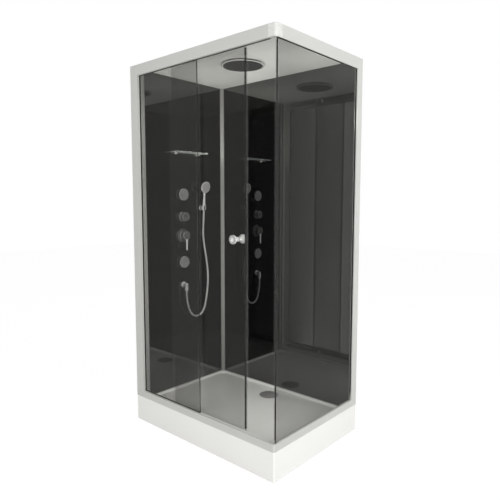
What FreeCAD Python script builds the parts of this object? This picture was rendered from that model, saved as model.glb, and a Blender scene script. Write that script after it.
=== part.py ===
import FreeCAD, Part
import math
import os

# Rectangular corner shower cabin with a hydromassage wall.
# The drawing axes: X runs along the sliding front, Y from the front to the back wall, Z up from the floor.
# Until the last step every piece is drawn about the middle of the tray's footprint.

V = FreeCAD.Vector
ALONG_X, ALONG_Y, ALONG_Z = V(1, 0, 0), V(0, 1, 0), V(0, 0, 1)

# ---------------------------------------------------------------- driving dimensions (mm)
WIDTH, DEPTH, HEIGHT = 1100.0, 775.0, 2150.0
TRAY_HEIGHT = 155.0
TOP_RAIL_HEIGHT, BOTTOM_RAIL_HEIGHT = 60.0, 40.0
GLASS = 5.0
PROFILE_WALL = 2.5

LEFT, RIGHT = -WIDTH / 2, WIDTH / 2
FRONT, BACK = -DEPTH / 2, DEPTH / 2

# tray
TRAY_SKIN = 5.0
TRAY_CLEARANCE = 4.0
LEDGE_Z, BASIN_Z, DRAIN_Z = 127.0, 116.0, 111.0
FLOOR_UNDERSIDE_Z = 100.0
RIM_FRONT, RIM_RIGHT, RIM_LEFT, RIM_BACK = 52.0, 40.0, 11.5, 23.0
LEDGE = 12.0
BASIN_CORNER, BASIN_DRAFT = 45.0, 8.0
DRAIN_X, DRAIN_Y = 0.0, 240.0
DRAIN_HOLE_R, DRAIN_SEAT_R, DRAIN_SEAT_DEPTH = 45.0, 58.3, 3.0

# walls and roof
WALL_X = LEFT + 17.0
WALL_Y = BACK - 28.5
ROOF_Z = 2143.0
ROOF_SKIN = 4.0
RAIL_TOP_Z = TRAY_HEIGHT + BOTTOM_RAIL_HEIGHT
HEADER_Z = HEIGHT - TOP_RAIL_HEIGHT

# framing, measured inwards from the outer faces
POST_FACE = 68.0
REAR_POST_FACE = 52.0
CAP_LEG = 46.0
SIDE_RAIL_DEPTH = 24.0
FIXED_GLASS_Y = FRONT + 17.5
DOOR_Y = FRONT + 37.5
SIDE_GLASS_X = RIGHT - 10.0
SLOT, SLOT_DEPTH = 9.0, 14.0

# sliding door, drawn partly open
DOOR_LEFT, DOOR_RIGHT = -222.0, 339.0
DOOR_BOTTOM, DOOR_TOP = 162.0, 2141.0
FIXED_GLASS_RIGHT = 13.0
SIDE_GLASS_FRONT = FRONT + 20.5
CARRIER_INSET = 60.0
WHEEL_ROLL_R, WHEEL_FLANGE_R, AXLE_R = 10.5, 12.5, 3.0
ROLL_GAP = 0.3
RIB_TOP_Z = HEADER_Z + 20.0
WHEEL_Z = RIB_TOP_Z + ROLL_GAP + WHEEL_ROLL_R
GUIDE_Z = 170.0
KNOB_X, KNOB_Z = 280.0, 1170.0
SEAL_GAP_Z = 3.0
MAGNET_TIP = 347.0
SIDE_MAGNET_X = 520.0

# fittings on the left wall; heights and the common vertical axis
AXIS_Y = -13.0
UPPER_JET_Z, DIVERTER_Z, MIXER_Z, LOWER_JET_Z, OUTLET_Z = 1406.0, 1261.0, 1137.0, 961.0, 809.0
PIPE_X = LEFT - 12.0
PIPE_R, PORT_R = 7.5, 10.0
VALVE_PORT, WALL_PORT = 30.0, 22.0
VALVE_BACK_X = LEFT - 33.0
VALVE_R = 24.0
HALF_INCH_R = 10.475
INLET_SPREAD = 40.0
JET_PIPE_Y, HAND_PIPE_Y, RISER_Y = -85.0, 80.0, 45.0
OVER_ROOF_Z = HEIGHT + 16.0
HEAD_X, HEAD_Y = 0.0, -5.0

# hand shower and hose
HOLDER = V(WALL_X + 30.0, 150.0, 1317.0)
HANDSET_LEAN = math.radians(3.5)
HANDSET_AXIS = V(math.sin(HANDSET_LEAN), 0, math.cos(HANDSET_LEAN))
HOSE_R = 7.0
OUTLET_X = WALL_X + 30.0

SHELF_Z, SHELF_MIDDLE_Y, SHELF_LENGTH, SHELF_DEPTH = 1676.0, 27.0, 268.0, 73.0

# what stands proud of the tray's footprint: valves behind the left wall, the knob in front
VALVES_PROUD = LEFT - VALVE_BACK_X
KNOB_LENGTH = 38.0
KNOB_PROUD = FRONT - (DOOR_Y - GLASS / 2 - KNOB_LENGTH)
TO_ORIGIN = V(VALVES_PROUD / 2, KNOB_PROUD / 2, 0)


# ---------------------------------------------------------------- drawing helpers
def box(x0, x1, y0, y1, z0, z1):
    return Part.makeBox(x1 - x0, y1 - y0, z1 - z0, V(x0, y0, z0))


def rod(start, direction, radius, length):
    return Part.makeCylinder(radius, length, start, direction)


def face_of(points):
    return Part.Face(Part.makePolygon(list(points) + [points[0]]))


def fuse(first, *others):
    return first.multiFuse(list(others)).removeSplitter()


def turned(profile, start, direction):
    """Revolve a closed (radius, height) outline about an axis through start."""
    outline = face_of([V(r, 0, h) for r, h in profile])
    body = outline.revolve(V(0, 0, 0), ALONG_Z, 360)
    body.Placement = FreeCAD.Placement(start, FreeCAD.Rotation(ALONG_Z, direction))
    return body


def flared(outline, start, direction):
    """Revolve an outline of (radius, height) corners; three points in brackets make an arc."""
    edges = []
    here = None
    for item in outline:
        if len(item) == 3:
            a, b, c = (V(r, 0, h) for r, h in item)
            if here is not None and (here - a).Length > 1e-6:
                edges.append(Part.makeLine(here, a))
            edges.append(Part.Arc(a, b, c).toShape())
            here = c
        else:
            point = V(item[0], 0, item[1])
            if here is not None:
                edges.append(Part.makeLine(here, point))
            here = point
    first = edges[0].Vertexes[0].Point
    edges.append(Part.makeLine(here, first))
    body = Part.Face(Part.Wire(edges)).revolve(V(0, 0, 0), ALONG_Z, 360)
    body.Placement = FreeCAD.Placement(start, FreeCAD.Rotation(ALONG_Z, direction))
    return body


def dome(radius, edge, crown):
    """Three points of a spherical cap's outline, from its rim to its crown on the axis."""
    rise = crown - edge
    sphere = (radius**2 + rise**2) / (2 * abs(rise))
    sign = 1 if rise > 0 else -1
    half = math.asin(radius / sphere) / 2
    middle = crown - sign * (sphere - sphere * math.cos(half))
    return (radius, edge), (sphere * math.sin(half), middle), (0, crown)


def rounded_rectangle(x0, x1, y0, y1, z, radius):
    """A wire of four lines and four arcs, always started at the same corner, so that two can be lofted."""
    k = radius * (1 - math.sqrt(0.5))
    corners = [(x1, y0, -1, 1), (x1, y1, -1, -1), (x0, y1, 1, -1), (x0, y0, 1, 1)]
    edges = []
    start = V(x0 + radius, y0, z)
    for i, (cx, cy, sx, sy) in enumerate(corners):
        if i % 2 == 0:
            a, b = V(cx + sx * radius, cy, z), V(cx, cy + sy * radius, z)
        else:
            a, b = V(cx, cy + sy * radius, z), V(cx + sx * radius, cy, z)
        edges.append(Part.makeLine(start, a))
        edges.append(Part.Arc(a, V(cx + sx * k, cy + sy * k, z), b).toShape())
        start = b
    return Part.Wire(edges)


def routed(points, radius_at):
    """A wire of straight runs joined by tangent arcs.

    radius_at(i, half_turn, shorter_run) gives the radius at each corner.
    """
    edges = []
    here = points[0]
    for i in range(1, len(points) - 1):
        before, corner, after = points[i - 1], points[i], points[i + 1]
        back, ahead = (before - corner), (after - corner)
        shorter = min(back.Length, ahead.Length)
        back.normalize()
        ahead.normalize()
        half_turn = (math.pi - back.getAngle(ahead)) / 2
        radius = radius_at(i, half_turn, shorter)
        reach = radius * math.tan(half_turn)
        first, last = corner + back * reach, corner + ahead * reach
        inward = (back + ahead).normalize()
        middle = corner + inward * (radius / math.cos(half_turn) - radius)
        edges.append(Part.LineSegment(here, first).toShape())
        edges.append(Part.Arc(first, middle, last).toShape())
        here = last
    edges.append(Part.LineSegment(here, points[-1]).toShape())
    return Part.Wire(edges)


def pipe_along(wire, radius):
    first = wire.Edges[0]
    start = first.Vertexes[0].Point
    ring = Part.Wire(Part.makeCircle(radius, start, first.tangentAt(first.FirstParameter)))
    return wire.makePipeShell([ring], True, False)


def bent_pipe(points, bend=25.0):
    return pipe_along(routed(points, lambda i, half_turn, shorter: bend), PIPE_R)


# ---------------------------------------------------------------- tray and what carries it
def basin_outline(z, inset=0.0, radius=BASIN_CORNER):
    return rounded_rectangle(
        WALL_X + LEDGE + inset,
        RIGHT - RIM_RIGHT - LEDGE - inset,
        FRONT + RIM_FRONT + LEDGE + inset,
        WALL_Y - LEDGE - inset,
        z,
        radius,
    )


def shower_tray():
    outer = box(LEFT, RIGHT, FRONT, BACK, TRAY_CLEARANCE, TRAY_HEIGHT)
    upright = [e for e in outer.Edges if abs(e.tangentAt(0).z) > 0.9]
    outer = outer.makeFillet(8.0, upright)
    top_edges = [e for e in outer.Edges if e.BoundBox.ZMin > TRAY_HEIGHT - 0.1]
    outer = outer.makeFillet(2.5, top_edges)

    ledge_pocket = box(
        LEFT + RIM_LEFT, RIGHT - RIM_RIGHT, FRONT + RIM_FRONT, BACK - RIM_BACK, LEDGE_Z, TRAY_HEIGHT + 1
    )
    dip = Part.makeLoft(
        [basin_outline(LEDGE_Z), basin_outline(BASIN_Z, BASIN_DRAFT, BASIN_CORNER - BASIN_DRAFT)], True, True
    )
    flat = 62.0
    around_drain = rounded_rectangle(
        DRAIN_X - flat, DRAIN_X + flat, DRAIN_Y - flat, DRAIN_Y + flat, DRAIN_Z, flat * 0.8
    )
    fall = Part.makeLoft(
        [basin_outline(BASIN_Z, BASIN_DRAFT, BASIN_CORNER - BASIN_DRAFT), around_drain], True, True
    )
    drain_hole = rod(V(DRAIN_X, DRAIN_Y, 0), ALONG_Z, DRAIN_HOLE_R, LEDGE_Z)
    seat_z = DRAIN_Z - DRAIN_SEAT_DEPTH
    drain_seat = rod(V(DRAIN_X, DRAIN_Y, seat_z), ALONG_Z, DRAIN_SEAT_R, LEDGE_Z - seat_z)

    t = TRAY_SKIN
    hollow = box(LEFT + t, RIGHT - t, FRONT + t, BACK - t, 0, TRAY_HEIGHT - t)
    under_ledge = box(
        LEFT + RIM_LEFT - t,
        RIGHT - RIM_RIGHT + t,
        FRONT + RIM_FRONT - t,
        BACK - RIM_BACK + t,
        LEDGE_Z - t,
        TRAY_HEIGHT,
    )
    under_basin = Part.Face(basin_outline(FLOOR_UNDERSIDE_Z, -t)).extrude(V(0, 0, 60))
    hollow = hollow.cut(under_ledge).cut(under_basin)

    # the skirt is full height on the two visible sides and short on the two wall sides
    short_left = box(LEFT - 1, LEFT + t + 1, FRONT + 30, BACK + 1, 0, FLOOR_UNDERSIDE_Z)
    short_back = box(LEFT - 1, RIGHT - 30, BACK - t - 1, BACK + 1, 0, FLOOR_UNDERSIDE_Z)
    tray = outer.cut(ledge_pocket).cut(dip).cut(fall).cut(hollow)
    return tray.cut(drain_hole).cut(drain_seat).cut(short_left).cut(short_back)


FRAME_TUBE = 30.0
FRAME_X, FRAME_FRONT, FRAME_BACK = 400.0, -270.0, 280.0
BEAM_Y = (-200.0, 100.0)
FOOT_PLACES = [
    (sx * FRAME_X, y) for sx in (-1, 1) for y in (FRAME_FRONT + 25, FRAME_BACK - 25)
] + [(0.0, y) for y in BEAM_Y]


def square_tube(x0, x1, y0, y1, z0, z1, along):
    solid = box(x0, x1, y0, y1, z0, z1)
    w = 2.0
    if along == "x":
        return solid.cut(box(x0, x1, y0 + w, y1 - w, z0 + w, z1 - w))
    return solid.cut(box(x0 + w, x1 - w, y0, y1, z0 + w, z1 - w))


def tray_frame():
    top = FLOOR_UNDERSIDE_Z
    half = FRAME_TUBE / 2
    tubes = []
    for sx in (-1, 1):
        x = sx * FRAME_X
        tubes.append(square_tube(x - half, x + half, FRAME_FRONT, FRAME_BACK, top - FRAME_TUBE, top, "y"))
    for y in BEAM_Y:
        tubes.append(
            square_tube(-FRAME_X + half, FRAME_X - half, y - half, y + half, top - FRAME_TUBE, top, "x")
        )
    return Part.makeCompound(tubes)


def levelling_feet():
    top = FLOOR_UNDERSIDE_Z - FRAME_TUBE
    feet = []
    for x, y in FOOT_PLACES:
        pad = turned([(0, 0), (25, 0), (25, 4), (12, 12), (0, 12)], V(x, y, 0), ALONG_Z)
        stud = rod(V(x, y, 11), ALONG_Z, 6, top - 11)
        nut = Part.Face(Part.makePolygon(hexagon(V(x, y, top - 10), 11))).extrude(V(0, 0, 10))
        feet.append(fuse(pad, stud, nut))
    return Part.makeCompound(feet)


def hexagon(centre, radius):
    corners = [
        centre + V(radius * math.cos(math.radians(60 * i)), radius * math.sin(math.radians(60 * i)), 0)
        for i in range(6)
    ]
    return corners + [corners[0]]


def drain_flange():
    z = DRAIN_Z
    profile = [(39, z - 27), (42, z - 27), (42, z - 3), (58, z - 3), (58, z - 1), (52, z), (39, z)]
    return turned(profile, V(DRAIN_X, DRAIN_Y, 0), ALONG_Z)


def drain_trap():
    """A low trap: collar under the tray, water cup, and the waste spigot towards the back."""
    top = FLOOR_UNDERSIDE_Z
    low = 22.0
    outer = [(0, low), (48, low), (52, low + 6), (52, top - 12), (60, top - 12), (60, top), (0, top)]
    inner = [
        (0, low + 3), (46, low + 3), (49, low + 8), (49, top - 16), (42.2, top - 13), (42.2, top + 1),
        (0, top + 1),
    ]  # fmt: skip
    centre = V(DRAIN_X, DRAIN_Y, 0)
    body = turned(outer, centre, ALONG_Z)
    spigot_start = V(DRAIN_X, DRAIN_Y + 40, 52)
    spigot = rod(spigot_start, ALONG_Y, 20, BACK - 10 - spigot_start.y)
    collar = rod(spigot_start, ALONG_Y, 23, 18.5)
    body = fuse(body, spigot, collar)
    bore = rod(spigot_start, ALONG_Y, 17.5, BACK)
    return body.cut(turned(inner, centre, ALONG_Z)).cut(bore)


def drain_cover():
    """A shallow chrome dome on a centring skirt; it lifts off the flange."""
    z = DRAIN_Z
    lid = flared(
        [(0, z + 1.5), (58, z + 1.5), dome(60, z + 2.5, z + 8.5)],
        V(DRAIN_X, DRAIN_Y, 0),
        ALONG_Z,
    )
    ribs = []
    for i in range(3):
        turn = 120 * i
        rib = box(DRAIN_X + 24, DRAIN_X + 38.3, DRAIN_Y - 1.5, DRAIN_Y + 1.5, z - 12, z + 3)
        foot = box(DRAIN_X + 36, DRAIN_X + 50, DRAIN_Y - 1.5, DRAIN_Y + 1.5, z + 0.2, z + 3)
        rib = rib.fuse(foot)
        rib.rotate(V(DRAIN_X, DRAIN_Y, 0), ALONG_Z, turn)
        ribs.append(rib)
    return fuse(lid, *ribs)


# ---------------------------------------------------------------- extruded profiles
def front_profile(points, x0, x1, base_z, rising):
    """Extrude along X an outline of (inward, up-from-the-glass-side) points of a front rail."""
    corners = [V(x0, FRONT + u, base_z + rising * v) for u, v in points]
    return face_of(corners).extrude(V(x1 - x0, 0, 0))


def side_profile(points, y0, y1, base_z, rising):
    corners = [V(RIGHT - u, y0, base_z + rising * v) for u, v in points]
    return face_of(corners).extrude(V(0, y1 - y0, 0))


FRONT_END = RIGHT - SIDE_RAIL_DEPTH
POST_RIGHT = LEFT + POST_FACE
REAR_POST_FRONT = BACK - REAR_POST_FACE
CAP_X, CAP_Y = RIGHT - CAP_LEG, FRONT + CAP_LEG


def rectangle(u0, u1, v0, v1):
    return [(u0, v0), (u1, v0), (u1, v1), (u0, v1)]


def top_rail_front():
    """Header: glass slot in front, wheel track with its raised rib behind, ledge for the roof inside."""
    section = [
        (0, 0), (0, 60), (46, 60), (46, 53), (58, 53), (58, 50), (43, 50), (43, 57), (13, 57), (13, 17),
        (27.5, 17), (27.5, 20), (30.5, 20), (30.5, 17), (33, 17), (33, 14), (24.5, 14), (24.5, 0),
        (22, 0), (22, 14), (13, 14), (13, 0),
    ]  # fmt: skip
    rail = front_profile(section, POST_RIGHT, FRONT_END, HEADER_Z, 1)
    chamber = front_profile(rectangle(2.5, 10.5, 2.5, 57.5), POST_RIGHT, FRONT_END, HEADER_Z, 1)
    for_cap = box(CAP_X, FRONT_END + 1, FRONT - 1, FRONT + 22, HEADER_Z - 1, HEIGHT + 1)
    return rail.cut(chamber).cut(for_cap)


def bottom_rail_front():
    """Sill: glass slot in front, hanging rib for the door guides, water lip inside."""
    section = [
        (0, 0), (0, 40), (50, 40), (50, 28), (47.5, 28), (47.5, 37.5), (13, 37.5), (13, 17),
        (27.5, 17), (27.5, 20), (30.5, 20), (30.5, 17), (33, 17), (33, 14), (24.5, 14), (24.5, 0),
        (22, 0), (22, 14), (13, 14), (13, 0),
    ]  # fmt: skip
    rail = front_profile(section, POST_RIGHT, FRONT_END, RAIL_TOP_Z, -1)
    chamber = front_profile(rectangle(2.5, 10.5, 2.5, 37.5), POST_RIGHT, FRONT_END, RAIL_TOP_Z, -1)
    for_cap = box(CAP_X, FRONT_END + 1, FRONT - 1, FRONT + 22, TRAY_HEIGHT - 1, RAIL_TOP_Z + 1)
    return rail.cut(chamber).cut(for_cap)


def top_rail_side():
    section = [
        (0, 0), (0, 60), (24, 60), (24, 53), (38, 53), (38, 50), (24, 50), (24, 14), (17, 14), (17, 0),
        (14.5, 0), (14.5, 14), (5.5, 14), (5.5, 0),
    ]  # fmt: skip
    rail = side_profile(section, CAP_Y, REAR_POST_FRONT, HEADER_Z, 1)
    chamber = side_profile(rectangle(2.5, 21.5, 16.5, 57.5), CAP_Y, REAR_POST_FRONT, HEADER_Z, 1)
    ledge_end = box(RIGHT - 39, RIGHT - 24, CAP_Y - 1, FRONT + 58, HEADER_Z, HEIGHT + 1)
    return rail.cut(chamber).cut(ledge_end)


def bottom_rail_side():
    section = [
        (0, 0), (0, 40), (24, 40), (24, 14), (17, 14), (17, 0), (14.5, 0), (14.5, 14), (5.5, 14), (5.5, 0),
    ]  # fmt: skip
    rail = side_profile(section, CAP_Y, REAR_POST_FRONT, RAIL_TOP_Z, -1)
    chamber = side_profile(rectangle(2.5, 21.5, 16.5, 37.5), CAP_Y, REAR_POST_FRONT, RAIL_TOP_Z, -1)
    return rail.cut(chamber)


def upright_profile(points, corner, x_way, y_way, z0, z1):
    """Extrude upwards an outline of (across, deep) points measured from an outer corner."""
    corners = [V(corner.x + x_way * a, corner.y + y_way * b, z0) for a, b in points]
    return face_of(corners).extrude(V(0, 0, z1 - z0))


def post_front_left():
    """Wall post: wide face in front, glass slot at its free edge, wall slot at the back of its leg."""
    wall_a0, wall_a1 = WALL_X - LEFT - GLASS - 0.3, WALL_X - LEFT + 0.3
    section = [
        (0, 0), (68, 0), (68, 13), (56, 13), (56, 22), (68, 22), (68, 24.5), (20, 24.5), (20, 48),
        (wall_a1, 48), (wall_a1, 35), (wall_a0, 35), (wall_a0, 48), (0, 48),
    ]  # fmt: skip
    corner = V(LEFT, FRONT, 0)
    post = upright_profile(section, corner, 1, 1, TRAY_HEIGHT, HEIGHT)
    front_room = upright_profile(rectangle(12, 53.5, 2.5, 22), corner, 1, 1, TRAY_HEIGHT, HEIGHT)
    leg_room = upright_profile(rectangle(2.5, 9.2, 2.5, 45.5), corner, 1, 1, TRAY_HEIGHT, HEIGHT)
    return post.cut(front_room).cut(leg_room)


def post_rear_right():
    wall_b0, wall_b1 = BACK - WALL_Y - GLASS - 0.3, BACK - WALL_Y + 0.3
    section = [
        (0, 0), (0, 52), (5.5, 52), (5.5, 43), (14.5, 43), (14.5, 52), (17, 52), (17, 40.5), (24, 40.5),
        (24, wall_b1), (14, wall_b1), (14, wall_b0), (24, wall_b0), (24, 0),
    ]  # fmt: skip
    corner = V(RIGHT, BACK, 0)
    post = upright_profile(section, corner, -1, -1, TRAY_HEIGHT, HEIGHT)
    room = upright_profile(rectangle(2.5, 11.5, 2.5, 40.5), corner, -1, -1, TRAY_HEIGHT, HEIGHT)
    return post.cut(room)


def post_rear_left():
    section = [(0, 0), (50, 0), (50, 23.5), (12, 23.5), (12, 50), (0, 50)]
    corner = V(LEFT, BACK, 0)
    post = upright_profile(section, corner, 1, -1, TRAY_HEIGHT, HEIGHT)
    across = upright_profile(rectangle(14.5, 47.5, 2.5, 21), corner, 1, -1, TRAY_HEIGHT, HEIGHT)
    deep = upright_profile(rectangle(2.5, 9.5, 2.5, 47.5), corner, 1, -1, TRAY_HEIGHT, HEIGHT)
    return post.cut(across).cut(deep)


def wall_rail(x0, x1, y0, y1, along):
    outer = box(x0, x1, y0, y1, HEADER_Z, HEIGHT)
    w = PROFILE_WALL
    if along == "x":
        return outer.cut(box(x0, x1, y0 + w, y1 - w, HEADER_Z + w, HEIGHT - w))
    return outer.cut(box(x0 + w, x1 - w, y0, y1, HEADER_Z + w, HEIGHT - w))


def top_rail_left():
    return wall_rail(LEFT, WALL_X - GLASS, FRONT + 48, BACK - 50, "y")


def top_rail_back():
    return wall_rail(LEFT + 50, RIGHT - SIDE_RAIL_DEPTH, WALL_Y + GLASS, BACK, "x")


def corner_cap(z0, z1, slot_z0, slot_z1):
    """Moulded corner between two rails, rounded on its outer edge, slotted for the side glass."""
    cap = box(CAP_X, RIGHT, FRONT, CAP_Y, z0, z1)
    cap = cap.cut(box(CAP_X - 1, RIGHT - SIDE_RAIL_DEPTH, FRONT + 22, CAP_Y + 1, z0 - 1, z1 + 1))
    outer_edge = [
        e for e in cap.Edges
        if abs(e.tangentAt(0).z) > 0.9 and e.BoundBox.XMin > RIGHT - 1 and e.BoundBox.YMax < FRONT + 1
    ]  # fmt: skip
    cap = cap.makeFillet(14.0, outer_edge)
    slot = box(
        SIDE_GLASS_X - SLOT / 2,
        SIDE_GLASS_X + SLOT / 2,
        SIDE_GLASS_FRONT - 5,
        CAP_Y + 1,
        slot_z0,
        slot_z1,
    )
    return cap.cut(slot)


def corner_cap_top():
    return corner_cap(HEADER_Z, HEIGHT, HEADER_Z - 1, HEADER_Z + SLOT_DEPTH)


def corner_cap_bottom():
    return corner_cap(TRAY_HEIGHT, RAIL_TOP_Z, RAIL_TOP_Z - SLOT_DEPTH, RAIL_TOP_Z + 1)


def corner_trim():
    """Cover strip across the inner corner of the two walls, gently bowed."""
    leg = 18.0
    start, end = V(WALL_X, WALL_Y - leg, LEDGE_Z), V(WALL_X + leg, WALL_Y, LEDGE_Z)
    bow = (start + end) * 0.5 + V(2.0, -2.0, 0)
    corner = V(WALL_X, WALL_Y, LEDGE_Z)
    outline = [
        Part.Arc(start, bow, end).toShape(), Part.makeLine(end, corner), Part.makeLine(corner, start)
    ]  # fmt: skip
    return Part.Face(Part.Wire(outline)).extrude(V(0, 0, ROOF_Z - LEDGE_Z))


TRIM_WIDTH, TRIM_EDGE_R = 25.0, 1.5


def trim_outline(start, s, n):
    """Section of a flat cover strip with rounded edges; s runs across it and n out of the wall."""
    r = TRIM_EDGE_R
    w = TRIM_WIDTH
    p = [start, start + n * r, start + s * r + n * 2 * r, start + s * (w - r) + n * 2 * r,
         start + s * w + n * r, start + s * w]  # fmt: skip
    q = r * (1 - math.sqrt(0.5))
    first = start + s * q + n * (2 * r - q)
    last = start + s * (w - q) + n * (2 * r - q)
    edges = [
        Part.makeLine(p[0], p[1]),
        Part.Arc(p[1], first, p[2]).toShape(),
        Part.makeLine(p[2], p[3]),
        Part.Arc(p[3], last, p[4]).toShape(),
        Part.makeLine(p[4], p[5]),
        Part.makeLine(p[5], p[0]),
    ]
    return Part.Face(Part.Wire(edges))


def wall_trims():
    """Two cover strips: one down the left wall near the door, one down the back wall near the side glass."""
    front = trim_outline(V(WALL_X, FRONT + 59.5, LEDGE_Z), V(0, 1, 0), V(1, 0, 0))
    low = TRAY_HEIGHT + 0.3
    right = trim_outline(V(RIGHT - SIDE_RAIL_DEPTH - TRIM_WIDTH - 0.5, WALL_Y, low), V(1, 0, 0), V(0, -1, 0))
    return Part.makeCompound([front.extrude(V(0, 0, ROOF_Z - LEDGE_Z)), right.extrude(V(0, 0, ROOF_Z - low))])


# ---------------------------------------------------------------- panels and glass
def left_wall_panel():
    panel = box(WALL_X - GLASS, WALL_X, FRONT + 37.5, WALL_Y + GLASS, LEDGE_Z, ROOF_Z)
    through = [
        (AXIS_Y, UPPER_JET_Z, 12.3),
        (AXIS_Y, LOWER_JET_Z, 12.3),
        (AXIS_Y, DIVERTER_Z, 17.3),
        (AXIS_Y, MIXER_Z, 17.3),
        (AXIS_Y, OUTLET_Z, 10.3),
        (HOLDER.y, HOLDER.z, 5.3),
    ] + [(y, SHELF_Z - 4, 4.3) for y in SHELF_BRACKETS_Y]
    for y, z, radius in through:
        panel = panel.cut(rod(V(WALL_X - 2 * GLASS, y, z), ALONG_X, radius, 4 * GLASS))
    over_rim = box(WALL_X - 2 * GLASS, WALL_X + 1, FRONT, FRONT + RIM_FRONT + 0.5, 0, TRAY_HEIGHT + 0.3)
    return panel.cut(over_rim)


def back_wall_panel():
    panel = box(WALL_X, RIGHT - 15, WALL_Y, WALL_Y + GLASS, LEDGE_Z, ROOF_Z)
    over_rim = box(RIGHT - RIM_RIGHT - 0.5, RIGHT, WALL_Y - 1, WALL_Y + 2 * GLASS, 0, TRAY_HEIGHT + 0.3)
    return panel.cut(over_rim)


def roof_panel():
    """White sheet roof on the rail ledges and the wall tops, with the hole for the rain head."""
    sheet = box(LEFT + 12.5, RIGHT - 24.5, FRONT + 48.5, WALL_Y + GLASS, ROOF_Z, ROOF_Z + ROOF_SKIN)
    return sheet.cut(rod(V(HEAD_X, HEAD_Y, ROOF_Z - 1), ALONG_Z, 11, 20))


def fixed_front_glass():
    y = FIXED_GLASS_Y
    return box(
        LEFT + 57, FIXED_GLASS_RIGHT, y - GLASS / 2, y + GLASS / 2, RAIL_TOP_Z - SLOT_DEPTH, HEADER_Z + 12
    )


def side_glass():
    x = SIDE_GLASS_X
    near, far = SIDE_GLASS_FRONT, REAR_POST_FRONT + 8
    return box(x - GLASS / 2, x + GLASS / 2, near, far, RAIL_TOP_Z - SLOT_DEPTH, HEADER_Z + 12)


def gasket_pair(x0, x1, y0, y1, z0, z1, along):
    """Two strips that fill a glass slot either side of the pane."""
    g = (SLOT - GLASS) / 2
    if along == "x":
        return [box(x0, x1, y0, y0 + g, z0, z1), box(x0, x1, y1 - g, y1, z0, z1)]
    return [box(x0, x0 + g, y0, y1, z0, z1), box(x1 - g, x1, y0, y1, z0, z1)]


def glass_gaskets():
    half = SLOT / 2
    low, high = (RAIL_TOP_Z - 10, RAIL_TOP_Z + 1), (HEADER_Z - 1, HEADER_Z + 10)
    strips = []
    for z0, z1 in (low, high):
        x, y = SIDE_GLASS_X, FIXED_GLASS_Y
        strips += gasket_pair(POST_RIGHT, FIXED_GLASS_RIGHT - 10, y - half, y + half, z0, z1, "x")
        strips += gasket_pair(x - half, x + half, SIDE_GLASS_FRONT + 12, REAR_POST_FRONT, z0, z1, "y")
        filler_end = FIXED_GLASS_RIGHT + 4
        strips.append(box(filler_end, CAP_X - 0.5, y - half, y + half, z0, z1))
    strips += gasket_pair(POST_RIGHT - 8, POST_RIGHT + 1, y - half, y + half, low[1], high[0], "x")
    strips += gasket_pair(x - half, x + half, REAR_POST_FRONT - 1, REAR_POST_FRONT + 7, low[1], high[0], "y")
    return Part.makeCompound(strips)


def seal(points, z0, z1):
    return face_of([V(x, y, z0) for x, y in points]).extrude(V(0, 0, z1 - z0))


SEAL_Z = (RAIL_TOP_Z + SEAL_GAP_Z, HEADER_Z - SEAL_GAP_Z)


def side_magnet_seal():
    """Clipped on the front edge of the side glass; its magnet chamber faces the closing door."""
    x, y = SIDE_GLASS_X, SIDE_GLASS_FRONT
    g = GLASS / 2
    m = SIDE_MAGNET_X
    section = [
        (x - g - 2, y + 10), (x - g - 2, DOOR_Y - 7), (m + 8, DOOR_Y - 7), (m + 8, DOOR_Y + 7),
        (m, DOOR_Y + 7), (m, DOOR_Y - 7), (m, DOOR_Y - 10), (x - g - 2, DOOR_Y - 10), (x - g - 2, y - 2),
        (x + g + 2, y - 2), (x + g + 2, y + 10), (x + g, y + 10), (x + g, y), (x - g, y), (x - g, y + 10),
    ]  # fmt: skip
    body = seal(section, *SEAL_Z)
    return body.cut(box(m + 1.5, m + 6.5, DOOR_Y - 5.5, DOOR_Y + 5.5, *SEAL_Z))


def door_magnet_seal():
    x, y, g = DOOR_RIGHT, DOOR_Y, GLASS / 2
    section = [
        (x - 9, y - g - 2), (x + 2, y - g - 2), (x + 2, y - 5), (MAGNET_TIP, y - 5), (MAGNET_TIP, y + 5),
        (x + 2, y + 5), (x + 2, y + g + 2), (x - 9, y + g + 2), (x - 9, y + g), (x, y + g), (x, y - g),
        (x - 9, y - g),
    ]  # fmt: skip
    body = seal(section, *SEAL_Z)
    return body.cut(box(x + 3.2, MAGNET_TIP - 1.2, y - 3.8, y + 3.8, *SEAL_Z))


def lip_seal(edge_x, glass_y, inward, lip_to_y, z0, z1):
    """A clip on a glass edge with one thin lip that wipes the other pane."""
    g = GLASS / 2
    way = 1 if lip_to_y > glass_y else -1
    side = glass_y + way * (g + 2)
    section = [
        (edge_x + 2 * -inward, glass_y - way * (g + 2)), (edge_x + inward * 9, glass_y - way * (g + 2)),
        (edge_x + inward * 9, glass_y - way * g), (edge_x, glass_y - way * g), (edge_x, glass_y + way * g),
        (edge_x + inward * 9, glass_y + way * g), (edge_x + inward * 9, side), (edge_x - inward * 0.5, side),
        (edge_x - inward * 0.5, lip_to_y), (edge_x - inward * 2, lip_to_y),
    ]  # fmt: skip
    return seal(section, z0, z1)


def fixed_glass_seal():
    return lip_seal(FIXED_GLASS_RIGHT, FIXED_GLASS_Y, -1, DOOR_Y - GLASS / 2 - 1, *SEAL_Z)


def door_trailing_seal():
    return lip_seal(DOOR_LEFT, DOOR_Y, 1, FIXED_GLASS_Y + GLASS / 2 + 1, *SEAL_Z)


# ---------------------------------------------------------------- sliding door
CARRIER_X = (DOOR_LEFT + CARRIER_INSET, DOOR_RIGHT - CARRIER_INSET)


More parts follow.
